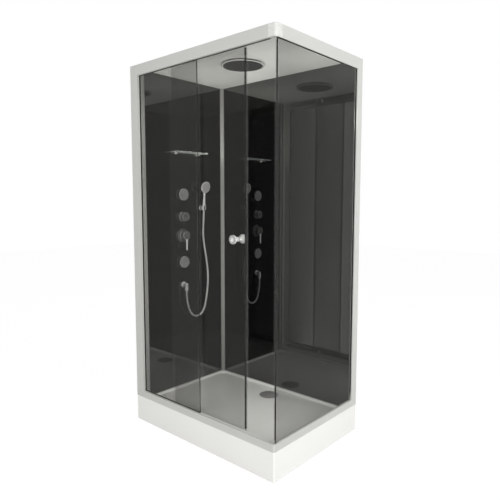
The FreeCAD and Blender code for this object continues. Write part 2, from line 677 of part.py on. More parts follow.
def door_glass():
    pane = box(DOOR_LEFT, DOOR_RIGHT, DOOR_Y - GLASS / 2, DOOR_Y + GLASS / 2, DOOR_BOTTOM, DOOR_TOP)
    start_y = DOOR_Y - 10
    holes = [(x, WHEEL_Z, 7.7) for x in CARRIER_X] + [(x, GUIDE_Z, 5.2) for x in CARRIER_X]
    holes.append((KNOB_X, KNOB_Z, 6.2))
    for x, z, radius in holes:
        pane = pane.cut(rod(V(x, start_y, z), ALONG_Y, radius, 20))
    return pane


def roller_mounts():
    """Axle, glass bush and inner cap of each top roller."""
    y0 = FRONT
    profile = [
        (0, 23.8), (4.5, 23.8), (4.5, 24.7), (AXLE_R, 24.7), (AXLE_R, 33.3), (9, 33.3), (9, 35), (7.4, 35),
        (7.4, 40), (14, 40), (14, 43), (12, 45.5), (0, 45.5),
    ]  # fmt: skip
    return Part.makeCompound([turned(profile, V(x, y0, WHEEL_Z), ALONG_Y) for x in CARRIER_X])


def top_wheel(x):
    """Grooved nylon roller that straddles the rib of the header's track."""
    bore = AXLE_R + 0.05
    roll, flange = WHEEL_ROLL_R, WHEEL_FLANGE_R
    profile = [
        (bore, 25), (flange, 25), (flange, 26.2), (roll, 26.8), (roll, 31.2), (flange, 31.8), (flange, 33),
        (bore, 33),
    ]  # fmt: skip
    return turned(profile, V(x, FRONT, WHEEL_Z), ALONG_Y)


def guide_blocks():
    """Grooved slides behind the sill rib, each screwed through the door glass to an inner cap."""
    blocks = []
    for x in CARRIER_X:
        block = box(x - 18, x + 18, FRONT + 25.2, FRONT + 35, GUIDE_Z - 6, GUIDE_Z + 7.4)
        groove = box(x - 19, x + 19, FRONT + 27.1, FRONT + 30.9, GUIDE_Z + 4.2, GUIDE_Z + 10)
        stem = rod(V(x, FRONT + 34, GUIDE_Z), ALONG_Y, 5, 7)
        cap = turned([(0, 40), (11, 40), (11, 43), (9, 45), (0, 45)], V(x, FRONT, GUIDE_Z), ALONG_Y)
        blocks.append(fuse(block.cut(groove), stem, cap))
    return Part.makeCompound(blocks)


def door_knob(outward):
    """Turned knob: foot on the glass, waisted neck, flared disc with a dished face."""
    length = KNOB_LENGTH
    outline = [
        (0, 0), (12, 0), (12, 2), ((9.5, 4), (8.0, 13), (11.5, 22)),
        ((11.5, 22), (15.5, 27), (22.5, 30)), (23, 31), (23, length - 1), (22, length),
        (15, length), dome(14.5, length - 1, length - 2.8),
    ]  # fmt: skip
    start = V(KNOB_X, DOOR_Y + outward * GLASS / 2, KNOB_Z)
    return flared(outline, start, V(0, outward, 0))


def door_knob_outer():
    knob = door_knob(-1)
    through = rod(V(KNOB_X, DOOR_Y - GLASS / 2 - 1, KNOB_Z), ALONG_Y, 5.5, GLASS + 1)
    return fuse(knob, through)


def door_knob_inner():
    return door_knob(1)


# ---------------------------------------------------------------- overhead shower
def rain_head_body():
    z = ROOF_Z
    profile = [
        (0, z - 12), (121, z - 12), (124, z - 10), (124, z - 7), (110, z - 4), (40, z - 2), (36, z), (0, z),
    ]  # fmt: skip
    plate = turned(profile, V(HEAD_X, HEAD_Y, 0), ALONG_Z)
    recess = rod(V(HEAD_X, HEAD_Y, z - 13), ALONG_Z, 113.5, 3)
    stub = rod(V(HEAD_X, HEAD_Y, z - 1), ALONG_Z, HALF_INCH_R, 17)
    return fuse(plate.cut(recess), stub)


NOZZLE_RINGS = ((0, 1), (24, 6), (48, 12), (72, 18), (96, 24))


def rain_head_face():
    """Nozzle plate, set in the body's recess, with rings of rubber nozzles."""
    z = ROOF_Z - 12
    plate = rod(V(HEAD_X, HEAD_Y, z), ALONG_Z, 113, 2)
    nozzles = []
    for radius, count in NOZZLE_RINGS:
        for i in range(count):
            turn = 2 * math.pi * i / count
            x, y = HEAD_X + radius * math.cos(turn), HEAD_Y + radius * math.sin(turn)
            nozzle = Part.Face(Part.makePolygon(hexagon(V(x, y, z - 2.5), 2.2))).extrude(V(0, 0, 3))
            nozzles.append(nozzle)
    return plate.multiFuse(nozzles)


def rain_head_elbow():
    """Lock nut on the roof and the capped elbow that takes the riser pipe."""
    top = ROOF_Z + ROOF_SKIN
    centre = V(HEAD_X, HEAD_Y, top)
    nut = Part.Face(Part.makePolygon(hexagon(centre, 17))).extrude(V(0, 0, 8))
    crown = OVER_ROOF_Z + 13 - top
    thread_top = 13.0
    profile = [
        (HALF_INCH_R + 0.1, 0), (13, 0), (13, crown - 3), (10, crown), (0, crown), (0, thread_top),
        (HALF_INCH_R + 0.1, thread_top),
    ]  # fmt: skip
    barrel = turned(profile, centre, ALONG_Z)
    arm_start = V(HEAD_X, HEAD_Y, OVER_ROOF_Z) + riser_direction() * 11.5
    arm = rod(arm_start, riser_direction(), 10.5, 18.5)
    stub_room = rod(centre, ALONG_Z, HALF_INCH_R + 0.1, 8)
    return fuse(nut.cut(stub_room), barrel, arm)


def riser_direction():
    return V(PIPE_X - HEAD_X, RISER_Y - HEAD_Y, 0).normalize()


# ---------------------------------------------------------------- plumbing behind the left wall
def feed_pipes():
    """Rigid pipes on the back of the wall: valve link, riser, jet loop and hand-shower drop."""
    x, y = PIPE_X, AXIS_Y
    link = rod(V(x, y, MIXER_Z + VALVE_PORT), ALONG_Z, PIPE_R, DIVERTER_Z - MIXER_Z - 2 * VALVE_PORT)
    jog = DIVERTER_Z + VALVE_PORT + 25
    elbow_mouth = V(HEAD_X, HEAD_Y, OVER_ROOF_Z) + riser_direction() * 30
    riser = bent_pipe(
        [
            V(x, y, DIVERTER_Z + VALVE_PORT), V(x, y, jog), V(x, RISER_Y, jog + RISER_Y - y),
            V(x, RISER_Y, OVER_ROOF_Z), elbow_mouth,
        ]
    )  # fmt: skip
    jet_side = y - WALL_PORT
    jets = bent_pipe(
        [
            V(x, jet_side, UPPER_JET_Z), V(x, JET_PIPE_Y, UPPER_JET_Z),
            V(x, JET_PIPE_Y, LOWER_JET_Z), V(x, jet_side, LOWER_JET_Z),
        ]
    )  # fmt: skip
    branch = rod(V(x, y - VALVE_PORT, DIVERTER_Z), V(0, -1, 0), PIPE_R, y - VALVE_PORT - JET_PIPE_Y)
    tee = rod(V(x, JET_PIPE_Y, DIVERTER_Z - 14), ALONG_Z, PORT_R, 28)
    tee_arm = rod(V(x, JET_PIPE_Y, DIVERTER_Z), ALONG_Y, PORT_R - 0.5, 16)
    hand = bent_pipe(
        [
            V(x, y + VALVE_PORT, DIVERTER_Z), V(x, HAND_PIPE_Y, DIVERTER_Z),
            V(x, HAND_PIPE_Y, OUTLET_Z), V(x, y + WALL_PORT, OUTLET_Z),
        ]
    )  # fmt: skip
    return Part.makeCompound([link, riser, fuse(jets, tee, tee_arm, branch), hand])


def port(z, way, reach):
    """Boss on a fitting behind the wall that a pipe butts against."""
    return rod(V(PIPE_X, AXIS_Y, z), way, PORT_R, reach)


CLIP_PLACES = (
    (RISER_Y, 1500.0), (RISER_Y, 1780.0), (RISER_Y, 2060.0), (JET_PIPE_Y, 1340.0), (JET_PIPE_Y, 1030.0),
    (HAND_PIPE_Y, 1190.0), (HAND_PIPE_Y, 900.0),
)  # fmt: skip


def pipe_clips():
    """Open plastic saddles between the wall and the pipes."""
    clips = []
    for y, z in CLIP_PLACES:
        clip = box(PIPE_X - 6, WALL_X - GLASS, y - 11, y + 11, z - 7, z + 7)
        seat = rod(V(PIPE_X, y, z - 8), ALONG_Z, PIPE_R + 0.1, 16)
        mouth = box(PIPE_X - 7, PIPE_X, y - 6.8, y + 6.8, z - 8, z + 8)
        clips.append(clip.cut(seat).cut(mouth))
    return Part.makeCompound(clips)


def behind_wall(depth):
    """Height above the wall face of a place this deep behind the wall's back face."""
    return -GLASS - depth


def jet_bases():
    """Escutcheon, wall stem with rear nut and port block, and the ball that carries the swivel head."""
    rear = -(WALL_X - PIPE_X) - 12
    bases = []
    for z in (UPPER_JET_Z, LOWER_JET_Z):
        profile = [
            (0, rear), (16, rear), (16, behind_wall(8)), (20, behind_wall(8)), (20, behind_wall(0)),
            (12, behind_wall(0)), (12, 0), (30, 0), (30, 2), (28, 3), (4, 3), (4, 12), (0, 12),
        ]  # fmt: skip
        stem = turned(profile, V(WALL_X, AXIS_Y, z), ALONG_X)
        ball = Part.makeSphere(JET_BALL_R, V(WALL_X + JET_PIVOT, AXIS_Y, z))
        bases.append(fuse(stem, ball, port(z, V(0, -1, 0), WALL_PORT)))
    return Part.makeCompound(bases)


JET_PIVOT, JET_BALL_R, JET_R = 12.0, 6.5, 38.5


def jet_head(z):
    """Thick round nozzle head on a ball neck; it swivels by hand."""
    outline = [
        (0, 8), (35, 8), ((38, 9.5), (JET_R, 11), (JET_R, 13)), (JET_R, 17.5),
        ((JET_R, 18), (37.5, 19.4), (36, 20)),
        (0, 20.6),
    ]  # fmt: skip
    head = flared(outline, V(WALL_X, AXIS_Y, z), ALONG_X)
    socket = Part.makeSphere(JET_BALL_R + 0.3, V(WALL_X + JET_PIVOT, AXIS_Y, z))
    mouth = Part.makeCone(7.2, 4.6, 5, V(WALL_X + 7, AXIS_Y, z), ALONG_X)
    nozzles = []
    for radius, count in ((12, 6), (25, 12)):
        for i in range(count):
            turn = 2 * math.pi * (i + 0.5) / count
            centre = V(WALL_X + 20, AXIS_Y + radius * math.cos(turn), z + radius * math.sin(turn))
            nozzles.append(rod(centre, ALONG_X, 1.4, 1.6))
    return head.cut(socket).cut(mouth).multiFuse(nozzles)


def valve_body(z):
    """Round valve housing behind the wall with a threaded neck through it."""
    back = VALVE_BACK_X - WALL_X
    profile = [
        (0, back), (VALVE_R - 2, back), (VALVE_R, back + 2),
        (VALVE_R, behind_wall(0)), (17, behind_wall(0)), (17, 4), (0, 4),
    ]  # fmt: skip
    return turned(profile, V(WALL_X, AXIS_Y, z), ALONG_X)


def diverter_body():
    ways = (ALONG_Y, V(0, -1, 0), ALONG_Z, V(0, 0, -1))
    body = fuse(valve_body(DIVERTER_Z), *[port(DIVERTER_Z, way, VALVE_PORT) for way in ways])
    bore = rod(V(WALL_X - 24, AXIS_Y, DIVERTER_Z), ALONG_X, DIVERTER_STEM_R + 0.05, 40)
    return body.cut(bore)


def mixer_body():
    """Mixer housing with the hot and cold arms and their half-inch threads pointing down."""
    body = valve_body(MIXER_Z)
    arm = rod(V(PIPE_X, AXIS_Y - INLET_SPREAD, MIXER_Z), ALONG_Y, 11, 2 * INLET_SPREAD)
    inlets = []
    for side in (-1, 1):
        knee = V(PIPE_X, AXIS_Y + side * INLET_SPREAD, MIXER_Z)
        collar = rod(knee, V(0, 0, -1), 12.5, 15)
        thread = rod(knee, V(0, 0, -1), HALF_INCH_R, 55)
        inlets += [Part.makeSphere(13, knee), collar, thread]
    bore = rod(V(WALL_X - 24, AXIS_Y, MIXER_Z), ALONG_X, SPINDLE_R + 0.05, 40)
    return fuse(body, arm, port(MIXER_Z, ALONG_Z, VALVE_PORT), *inlets).cut(bore)


DIVERTER_STEM_R, SPINDLE_R = 5.0, 8.0


def diverter_rosette():
    """Two stacked rings on a thin neck, screwed over the valve's neck."""
    profile = [
        (17.2, 0), (32, 0), (32, 4.5), (30.5, 6), (24, 6), (24, 9), (30, 9), (31, 10), (31, 13), (30, 14),
        (19, 14), (19, 18), (5.5, 18), (5.5, 4.2), (17.2, 4.2),
    ]  # fmt: skip
    return turned(profile, V(WALL_X, AXIS_Y, DIVERTER_Z), ALONG_X)


def diverter_knob():
    """Flared knob with a dished face and a raised position pip."""
    outline = [
        (0, 18.6), (17, 18.6), ((17.5, 20), (20.5, 29), (27.5, 34)), (28, 35), (28, 37), (27, 38), (20, 38),
        dome(19.5, 37.5, 35.8),
    ]  # fmt: skip
    start = V(WALL_X, AXIS_Y, DIVERTER_Z)
    knob = flared(outline, start, ALONG_X)
    stem = rod(V(WALL_X - 20, AXIS_Y, DIVERTER_Z), ALONG_X, DIVERTER_STEM_R, 40)
    pip = rod(V(WALL_X + 37, AXIS_Y, DIVERTER_Z + 23.5), ALONG_X, 1.6, 2)
    return fuse(knob, stem, pip)


MIXER_PIVOT, BALL_R = 22.0, 18.0


def mixer_rosette():
    profile = [
        (17.2, 0), (45, 0), (45, 2), (43.5, 3), (30, 3), (30, 8), (24, 8), (24, 10.5), (29, 10.5),
        (29.5, 11.5), (29.5, 14), (17, 14), (8.5, 14), (8.5, 4.2), (17.2, 4.2),
    ]  # fmt: skip
    return turned(profile, V(WALL_X, AXIS_Y, MIXER_Z), ALONG_X)


def mixer_spindle():
    """Cartridge stem with the ball on which the lever tilts; it turns with the lever."""
    stem = rod(V(WALL_X - 22, AXIS_Y, MIXER_Z), ALONG_X, SPINDLE_R, 40)
    ball = Part.makeSphere(BALL_R, V(WALL_X + MIXER_PIVOT, AXIS_Y, MIXER_Z))
    behind = box(WALL_X - 10, WALL_X + 14.6, AXIS_Y - 20, AXIS_Y + 20, MIXER_Z - 20, MIXER_Z + 20)
    return fuse(stem, ball.cut(behind))


def mixer_lever():
    """Flared cap over the ball, with the flat tapering lever hanging from its front."""
    start = V(WALL_X, AXIS_Y, MIXER_Z)
    outline = [
        (0, 25), (23, 25), ((23.5, 26), (24.5, 34), (27.5, 38)), (28, 39), (28, 41), dome(27, 42, 44),
    ]  # fmt: skip
    cap = flared(outline, start, ALONG_X)
    socket = Part.makeSphere(BALL_R + 0.3, start + V(MIXER_PIVOT, 0, 0))
    top = rounded_rectangle(36, 43, -7.5, 7.5, -18, 3)
    end = rounded_rectangle(37.5, 42.5, -6, 6, -96, 2.4)
    lever = Part.makeLoft([top, end], True, True)
    lever.Placement = FreeCAD.Placement(start, FreeCAD.Rotation())
    return fuse(cap, lever).cut(socket)


def hose_outlet():
    """Wall elbow: rear port, rosette, neck, and the half-inch thread pointing down for the hose nut."""
    rear = -(WALL_X - PIPE_X) - 10
    profile = [
        (0, rear), (14, rear), (14, behind_wall(0)), (10, behind_wall(0)), (10, 0), (20, 0), (20, 3), (17, 6),
        (10, 7.5), (10, 30), (0, 30),
    ]  # fmt: skip
    neck = turned(profile, V(WALL_X, AXIS_Y, OUTLET_Z), ALONG_X)
    knee = Part.makeSphere(11.5, V(OUTLET_X, AXIS_Y, OUTLET_Z))
    thread = rod(V(OUTLET_X, AXIS_Y, OUTLET_Z - 22), ALONG_Z, HALF_INCH_R, 22)
    return fuse(neck, knee, thread, port(OUTLET_Z, ALONG_Y, WALL_PORT))


# ---------------------------------------------------------------- hand shower, holder, hose
NUT_LOW, NUT_HIGH = -16.0, 16.0
RING_LOW, RING_HIGH = -12.0, 12.0


def nut_radius(t):
    """Radius of the conical hose nut at a distance t along the handset's axis from the holder's middle."""
    return 10.25 + 1.25 * t / NUT_HIGH


def hand_shower_holder():
    """Wall rosette, arm and an open conical ring that the hose nut drops into."""
    profile = [
        (0, behind_wall(7)), (10, behind_wall(7)), (10, behind_wall(0)), (5, behind_wall(0)), (5, 0), (17, 0),
        (17, 4), (14, 7), (8, 8), (8, 17), (0, 17),
    ]  # fmt: skip
    mount = turned(profile, V(WALL_X, HOLDER.y, HOLDER.z), ALONG_X)
    gap = 0.3
    ring = turned([(0, RING_LOW), (15, RING_LOW), (16, RING_HIGH), (0, RING_HIGH)], HOLDER, HANDSET_AXIS)
    bore = turned(
        [
            (0, RING_LOW - 1), (nut_radius(RING_LOW - 1) + gap, RING_LOW - 1),
            (nut_radius(RING_HIGH + 1) + gap, RING_HIGH + 1), (0, RING_HIGH + 1),
        ],
        HOLDER,
        HANDSET_AXIS,
    )  # fmt: skip
    x, y, z = HOLDER
    half = HOSE_R + 0.7
    mouth = box(x, x + 25, y - half, y + half, z - 20, z + 20)
    return fuse(mount, ring).cut(bore).cut(mouth)


def hose_nut_upper():
    """Conical nut of the hose: it screws on the handset and sits in the holder's ring."""
    low, high = NUT_LOW, NUT_HIGH
    profile = [(0, low), (nut_radius(low), low), (nut_radius(high), high), (8.1, high), (8.1, 4), (0, 4)]
    return turned(profile, HOLDER, HANDSET_AXIS)


def hose_nut_lower():
    top = OUTLET_Z - 16
    profile = [
        (0, top - 28), (8.5, top - 28), (12.5, top - 20), (12.5, top), (HALF_INCH_R + 0.1, top),
        (HALF_INCH_R + 0.1, top - 7), (0, top - 7),
    ]  # fmt: skip
    return turned(profile, V(OUTLET_X, AXIS_Y, 0), ALONG_Z)


HEAD_ALONG, HEAD_FORWARD = 142.0, 7.0
FACE_DROP = math.radians(13.0)
FACE_NORMAL = V(math.cos(FACE_DROP), 0, -math.sin(FACE_DROP))


def handset_head_centre():
    return HOLDER + HANDSET_AXIS * HEAD_ALONG + FACE_NORMAL * HEAD_FORWARD


def hand_shower():
    """Slim tapering handle and a round head, with a thread at its foot for the hose nut."""
    handle = flared(
        [
            (0, 5), (8, 5), (8, NUT_HIGH + 0.2), (11.5, NUT_HIGH + 0.2), (11.5, 20),
            ((10.8, 22), (7.6, 60), (7.0, 100)), (7.2, 118), (0, 118),
        ],
        HOLDER,
        HANDSET_AXIS,
    )  # fmt: skip
    centre = handset_head_centre()
    head = flared(
        [(0, 8), (35, 8), (38, 7), ((38, 5), (37.2, 0.8), (34, -2)), dome(34, -2, -9.5)],
        centre,
        FACE_NORMAL,
    )
    recess = rod(centre + FACE_NORMAL * 6.5, FACE_NORMAL, 33.2, 4)
    return fuse(handle, head).cut(recess)


def hand_shower_face():
    centre = handset_head_centre()
    plate = rod(centre + FACE_NORMAL * 6.5, FACE_NORMAL, 33, 1.5)
    side = V(0, 1, 0)
    up = FACE_NORMAL.cross(side).normalize()
    nozzles = []
    for radius, count in ((0, 1), (11, 6), (24, 12)):
        for i in range(count):
            turn = 2 * math.pi * i / count
            at = centre + side * (radius * math.cos(turn)) + up * (radius * math.sin(turn))
            nozzles.append(rod(at + FACE_NORMAL * 7.5, FACE_NORMAL, 1.5, 2))
    return plate.multiFuse(nozzles)


HOSE_START = HOLDER + HANDSET_AXIS * NUT_LOW
HOSE_END = V(OUTLET_X, AXIS_Y, OUTLET_Z - 44)
HOSE_ROUTE = [
    HOSE_START,
    HOSE_START - HANDSET_AXIS * 80,
    V(-506, 141, 1134),
    V(-499, 151, 1036),
    V(-496, 169, 938),
    V(-495, 177, 840),
    V(-495, 167, 745),
    V(-495, 149, 660),
    V(-495, 132, 615),
    V(-496, 98, 588),
    V(-497, 56, 586),
    V(-499, 21, 610),
    V(-501, 2, 652),
    V(HOSE_END.x, HOSE_END.y, HOSE_END.z - 52),
    HOSE_END,
]


def hose_radius(i, half_turn, shorter):
    radius = 0.45 * shorter / math.tan(half_turn)
    print("hose bend", i, "radius", round(radius), "turn", round(math.degrees(2 * half_turn)))
    return radius


def shower_hose():
    route = routed(HOSE_ROUTE, hose_radius)
    hose = pipe_along(route, HOSE_R)
    expected = math.pi * HOSE_R**2 * route.Length
    print("hose length", round(route.Length, 1), "volume ratio", round(hose.Volume / expected, 5))
    return hose


# ---------------------------------------------------------------- shelf
SHELF_BRACKETS_Y = (SHELF_MIDDLE_Y - 93.0, SHELF_MIDDLE_Y + 93.0)
SHELF_GLASS = 5.0


def shelf_plate():
    y0, y1 = SHELF_MIDDLE_Y - SHELF_LENGTH / 2, SHELF_MIDDLE_Y + SHELF_LENGTH / 2
    x0, x1 = WALL_X + 1, WALL_X + SHELF_DEPTH
    slab = box(x0, x1, y0, y1, SHELF_Z, SHELF_Z + SHELF_GLASS)
    outer_corners = [e for e in slab.Edges if abs(e.tangentAt(0).z) > 0.9 and e.BoundBox.XMin > x1 - 1]
    return slab.makeFillet(14.0, outer_corners)


def shelf_brackets():
    """Two chrome clamps: a wall stud with a jaw under and over the plate."""
    brackets = []
    for y in SHELF_BRACKETS_Y:
        z = SHELF_Z - 4
        stud = turned(
            [
                (0, behind_wall(6)), (8, behind_wall(6)), (8, behind_wall(0)), (4, behind_wall(0)), (4, 0),
                (9, 0), (9, 6), (0, 6),
            ],
            V(WALL_X, y, z),
            ALONG_X,
        )  # fmt: skip
        jaw = box(WALL_X, WALL_X + 24, y - 9, y + 9, SHELF_Z - 6, SHELF_Z + SHELF_GLASS + 5)
        room = box(WALL_X + 0.9, WALL_X + 25, y - 10, y + 10, SHELF_Z, SHELF_Z + SHELF_GLASS + 0.1)
        brackets.append(fuse(stud, jaw).cut(room))
    return Part.makeCompound(brackets)


# ---------------------------------------------------------------- the whole cabin
NODES = {
    "shower_tray": shower_tray,
    "tray_frame": tray_frame,
    "levelling_feet": levelling_feet,
    "drain_flange": drain_flange,
    "drain_trap": drain_trap,
    "drain_cover": drain_cover,
    "bottom_rail_front": bottom_rail_front,
    "bottom_rail_side": bottom_rail_side,
    "top_rail_front": top_rail_front,
    "top_rail_side": top_rail_side,
    "top_rail_left": top_rail_left,
    "top_rail_back": top_rail_back,
    "corner_cap_bottom": corner_cap_bottom,
    "corner_cap_top": corner_cap_top,
    "post_front_left": post_front_left,
    "post_rear_right": post_rear_right,
    "post_rear_left": post_rear_left,
    "corner_trim": corner_trim,
    "wall_trims": wall_trims,
    "left_wall_panel": left_wall_panel,
    "back_wall_panel": back_wall_panel,
    "roof_panel": roof_panel,
    "fixed_front_glass": fixed_front_glass,
    "side_glass": side_glass,
    "glass_gaskets": glass_gaskets,
    "side_magnet_seal": side_magnet_seal,
    "fixed_glass_seal": fixed_glass_seal,
    "door_glass": door_glass,
    "door_magnet_seal": door_magnet_seal,
    "door_trailing_seal": door_trailing_seal,
    "roller_mounts": roller_mounts,
    "top_wheel_left": lambda: top_wheel(CARRIER_X[0]),
    "top_wheel_right": lambda: top_wheel(CARRIER_X[1]),
    "guide_blocks": guide_blocks,
    "door_knob_outer": door_knob_outer,
    "door_knob_inner": door_knob_inner,
    "rain_head_body": rain_head_body,
    "rain_head_face": rain_head_face,
    "rain_head_elbow": rain_head_elbow,
    "feed_pipes": feed_pipes,
    "pipe_clips": pipe_clips,
    "jet_bases": jet_bases,
    "upper_jet_head": lambda: jet_head(UPPER_JET_Z),
    "lower_jet_head": lambda: jet_head(LOWER_JET_Z),
    "diverter_body": diverter_body,
    "diverter_rosette": diverter_rosette,
    "diverter_knob": diverter_knob,
    "mixer_body": mixer_body,
    "mixer_rosette": mixer_rosette,
    "mixer_spindle": mixer_spindle,
    "mixer_lever": mixer_lever,
    "hose_outlet": hose_outlet,
    "hand_shower_holder": hand_shower_holder,
    "hand_shower": hand_shower,
    "hand_shower_face": hand_shower_face,
    "hose_nut_upper": hose_nut_upper,
    "hose_nut_lower": hose_nut_lower,
    "shower_hose": shower_hose,
    "shelf_plate": shelf_plate,
    "shelf_brackets": shelf_brackets,
}


def main():
    os.makedirs("parts", exist_ok=True)
    everything = []
    for name, build in NODES.items():
        shape = build()
        shape.translate(TO_ORIGIN)
        if not shape.isValid():
            print("NOT VALID", name)
        shape.exportStep(f"parts/{name}.step")
        everything.append(shape)
    whole = Part.makeCompound(everything).BoundBox
    sides = (whole.XMin, whole.XMax, whole.YMin, whole.YMax, whole.ZMin, whole.ZMax)
    print("box", [round(v, 2) for v in sides])
    print("shift to the origin", TO_ORIGIN)


main()
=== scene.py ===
"""Shower cabin with a hydromassage wall: its finishes, hose, seals, glass edges and studio."""

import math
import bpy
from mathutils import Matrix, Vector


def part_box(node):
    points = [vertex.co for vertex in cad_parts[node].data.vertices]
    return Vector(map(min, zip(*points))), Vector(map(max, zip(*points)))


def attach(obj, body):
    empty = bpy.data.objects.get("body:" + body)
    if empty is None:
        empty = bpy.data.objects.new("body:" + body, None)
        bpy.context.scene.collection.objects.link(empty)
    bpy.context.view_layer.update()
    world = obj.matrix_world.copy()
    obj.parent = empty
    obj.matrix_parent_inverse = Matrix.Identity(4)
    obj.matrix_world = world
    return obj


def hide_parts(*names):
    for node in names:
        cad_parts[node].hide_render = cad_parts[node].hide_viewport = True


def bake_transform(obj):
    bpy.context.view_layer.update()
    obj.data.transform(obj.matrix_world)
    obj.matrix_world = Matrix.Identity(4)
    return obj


bl_info = {
    "name": "Shower Cabin",
    "version": (1, 0, 0),
    "blender": (4, 5, 0),
    "location": "View3D > Sidebar > Shower Cabin",
    "description": "Dresses the frame of a corner shower cabin with its finishes, fittings and studio",
    "category": "Object",
}

import bmesh
import bpy
from bpy.props import FloatProperty, FloatVectorProperty, IntProperty, PointerProperty
from mathutils import Matrix, Vector

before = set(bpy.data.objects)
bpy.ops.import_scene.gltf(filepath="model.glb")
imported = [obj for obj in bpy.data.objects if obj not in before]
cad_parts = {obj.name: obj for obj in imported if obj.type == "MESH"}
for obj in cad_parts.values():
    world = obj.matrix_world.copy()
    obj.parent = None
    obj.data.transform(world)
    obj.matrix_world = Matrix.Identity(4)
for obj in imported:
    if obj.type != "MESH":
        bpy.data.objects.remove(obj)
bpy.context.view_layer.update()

MM = 0.001
UP = Vector((0, 0, 1))


def corners(node):
    """Lowest and highest corner of a frame node, as vectors."""
    low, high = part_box(node)
    return Vector(low), Vector(high)


def middle(node):
    """Middle of a frame node's box."""
    low, high = corners(node)
    return (low + high) / 2


HEADER_LOW = corners("top_rail_front")[0].z
SILL_HIGH = corners("bottom_rail_front")[1].z


# ------------------------------------------------------------------ settings that a user would change
class CabinGlass(bpy.types.PropertyGroup):
    tint: FloatVectorProperty(
        name="Tint",
        description="Colour of the smoked glass",
        subtype="COLOR",
        default=(0.012, 0.012, 0.010),
        min=0.0,
        max=1.0,
    )
    density: FloatProperty(
        name="Density",
        description="How much light one face of a pane stops",
        subtype="FACTOR",
        default=0.225,
        min=0.0,
        max=1.0,
    )
    wall: FloatVectorProperty(
        name="Wall Glass",
        description="Colour of the black wall glass",
        subtype="COLOR",
        default=(0.002, 0.002, 0.002),
        min=0.0,
        max=1.0,
    )


class CabinMetal(bpy.types.PropertyGroup):
    profile: FloatVectorProperty(
        name="Profiles",
        description="Colour of the lacquered aluminium profiles",
        subtype="COLOR",
        default=(0.522, 0.526, 0.502),
        min=0.0,
        max=1.0,
    )
    chrome: FloatVectorProperty(
        name="Chrome",
        description="Colour of the chromed fittings",
        subtype="COLOR",
        default=(0.80, 0.805, 0.80),
        min=0.0,
        max=1.0,
    )
    chrome_roughness: FloatProperty(
        name="Chrome Roughness",
        description="Roughness of the polished fittings",
        subtype="FACTOR",
        default=0.14,
        min=0.0,
        max=1.0,
    )


class CabinHose(bpy.types.PropertyGroup):
    diameter: FloatProperty(
        name="Diameter",
        description="Outside diameter of the shower hose",
        subtype="DISTANCE",
        unit="LENGTH",
        default=0.014,
        min=0.008,
        max=0.02,
    )
    turns_per_metre: FloatProperty(
        name="Turns per Metre",
        description="Turns of the metal winding in one metre of hose",
        default=170.0,
        min=20.0,
        max=400.0,
    )
    sides: IntProperty(
        name="Sides", description="Faces round the hose", default=14, min=6, max=32
    )


class CabinStudio(bpy.types.PropertyGroup):
    lens: FloatProperty(
        name="Lens",
        description="Focal length on a 36 mm sensor",
        subtype="DISTANCE_CAMERA",
        default=35.396,
        min=10.0,
        max=200.0,
    )
    heading: FloatProperty(
        name="Heading",
        description="Camera's turn about the vertical",
        subtype="ANGLE",
        default=math.radians(41.679),
    )
    pitch: FloatProperty(
        name="Pitch",
        description="Camera's tilt below the horizontal",
        subtype="ANGLE",
        default=math.radians(5.483),
    )
    key: FloatProperty(
        name="Key Light",
        description="Power of the large light on the right",
        subtype="POWER",
        default=155.0,
        min=0.0,
    )
    fill: FloatProperty(
        name="Fill Light",
        description="Power of the large light in front",
        subtype="POWER",
        default=138.0,
        min=0.0,
    )
    inside: FloatProperty(
        name="Inside Light",
        description="Power of all the soft light that the glass lets into the cabin",
        subtype="POWER",
        default=10.0,
        min=0.0,
    )
    room: FloatProperty(
        name="Room Light",
        description="Strength of the even light of the room",
        subtype="FACTOR",
        default=0.45,
        min=0.0,
        max=2.0,
    )
    reflected_room: FloatProperty(
        name="Reflected Room",
        description="Strength of the room as glass and metal reflect it",
        subtype="FACTOR",
        default=0.24,
        min=0.0,
        max=2.0,
    )
    reflected_front: FloatProperty(
        name="Reflected Front",
        description="Strength of the bright opening of that room, in front of the cabin",
        subtype="FACTOR",
        default=0.93,
        min=0.0,
        max=2.0,
    )


# ------------------------------------------------------------------ shader nodes
def joined(tree, operation, one, other):
    """The result of a calculation with two values."""
    node = tree.nodes.new("ShaderNodeMath")
    node.operation = operation
    tree.links.new(one, node.inputs[0])
    tree.links.new(other, node.inputs[1])
    return node.outputs["Value"]


def ramp(tree, value, start=0.0, end=1.0, low=0.0, high=1.0):
    """Low where the value is at its start, high where it is at its end, and held beyond both."""
    spread = tree.nodes.new("ShaderNodeMapRange")
    spread.inputs["From Min"].default_value = start
    spread.inputs["From Max"].default_value = end
    spread.inputs["To Min"].default_value = low
    spread.inputs["To Max"].default_value = high
    tree.links.new(value, spread.inputs["Value"])
    return spread.outputs["Result"]


def shining(tree, kind, colour, strength):
    """A background or an emission shader."""
    shader = tree.nodes.new(kind)
    shader.inputs["Color"].default_value = (*colour, 1.0)
    shader.inputs["Strength"].default_value = strength
    return shader


def matt(tree, grey):
    """A diffuse shader of one grey."""
    shader = tree.nodes.new("ShaderNodeBsdfDiffuse")
    shader.inputs["Color"].default_value = (grey, grey, grey, 1.0)
    return shader


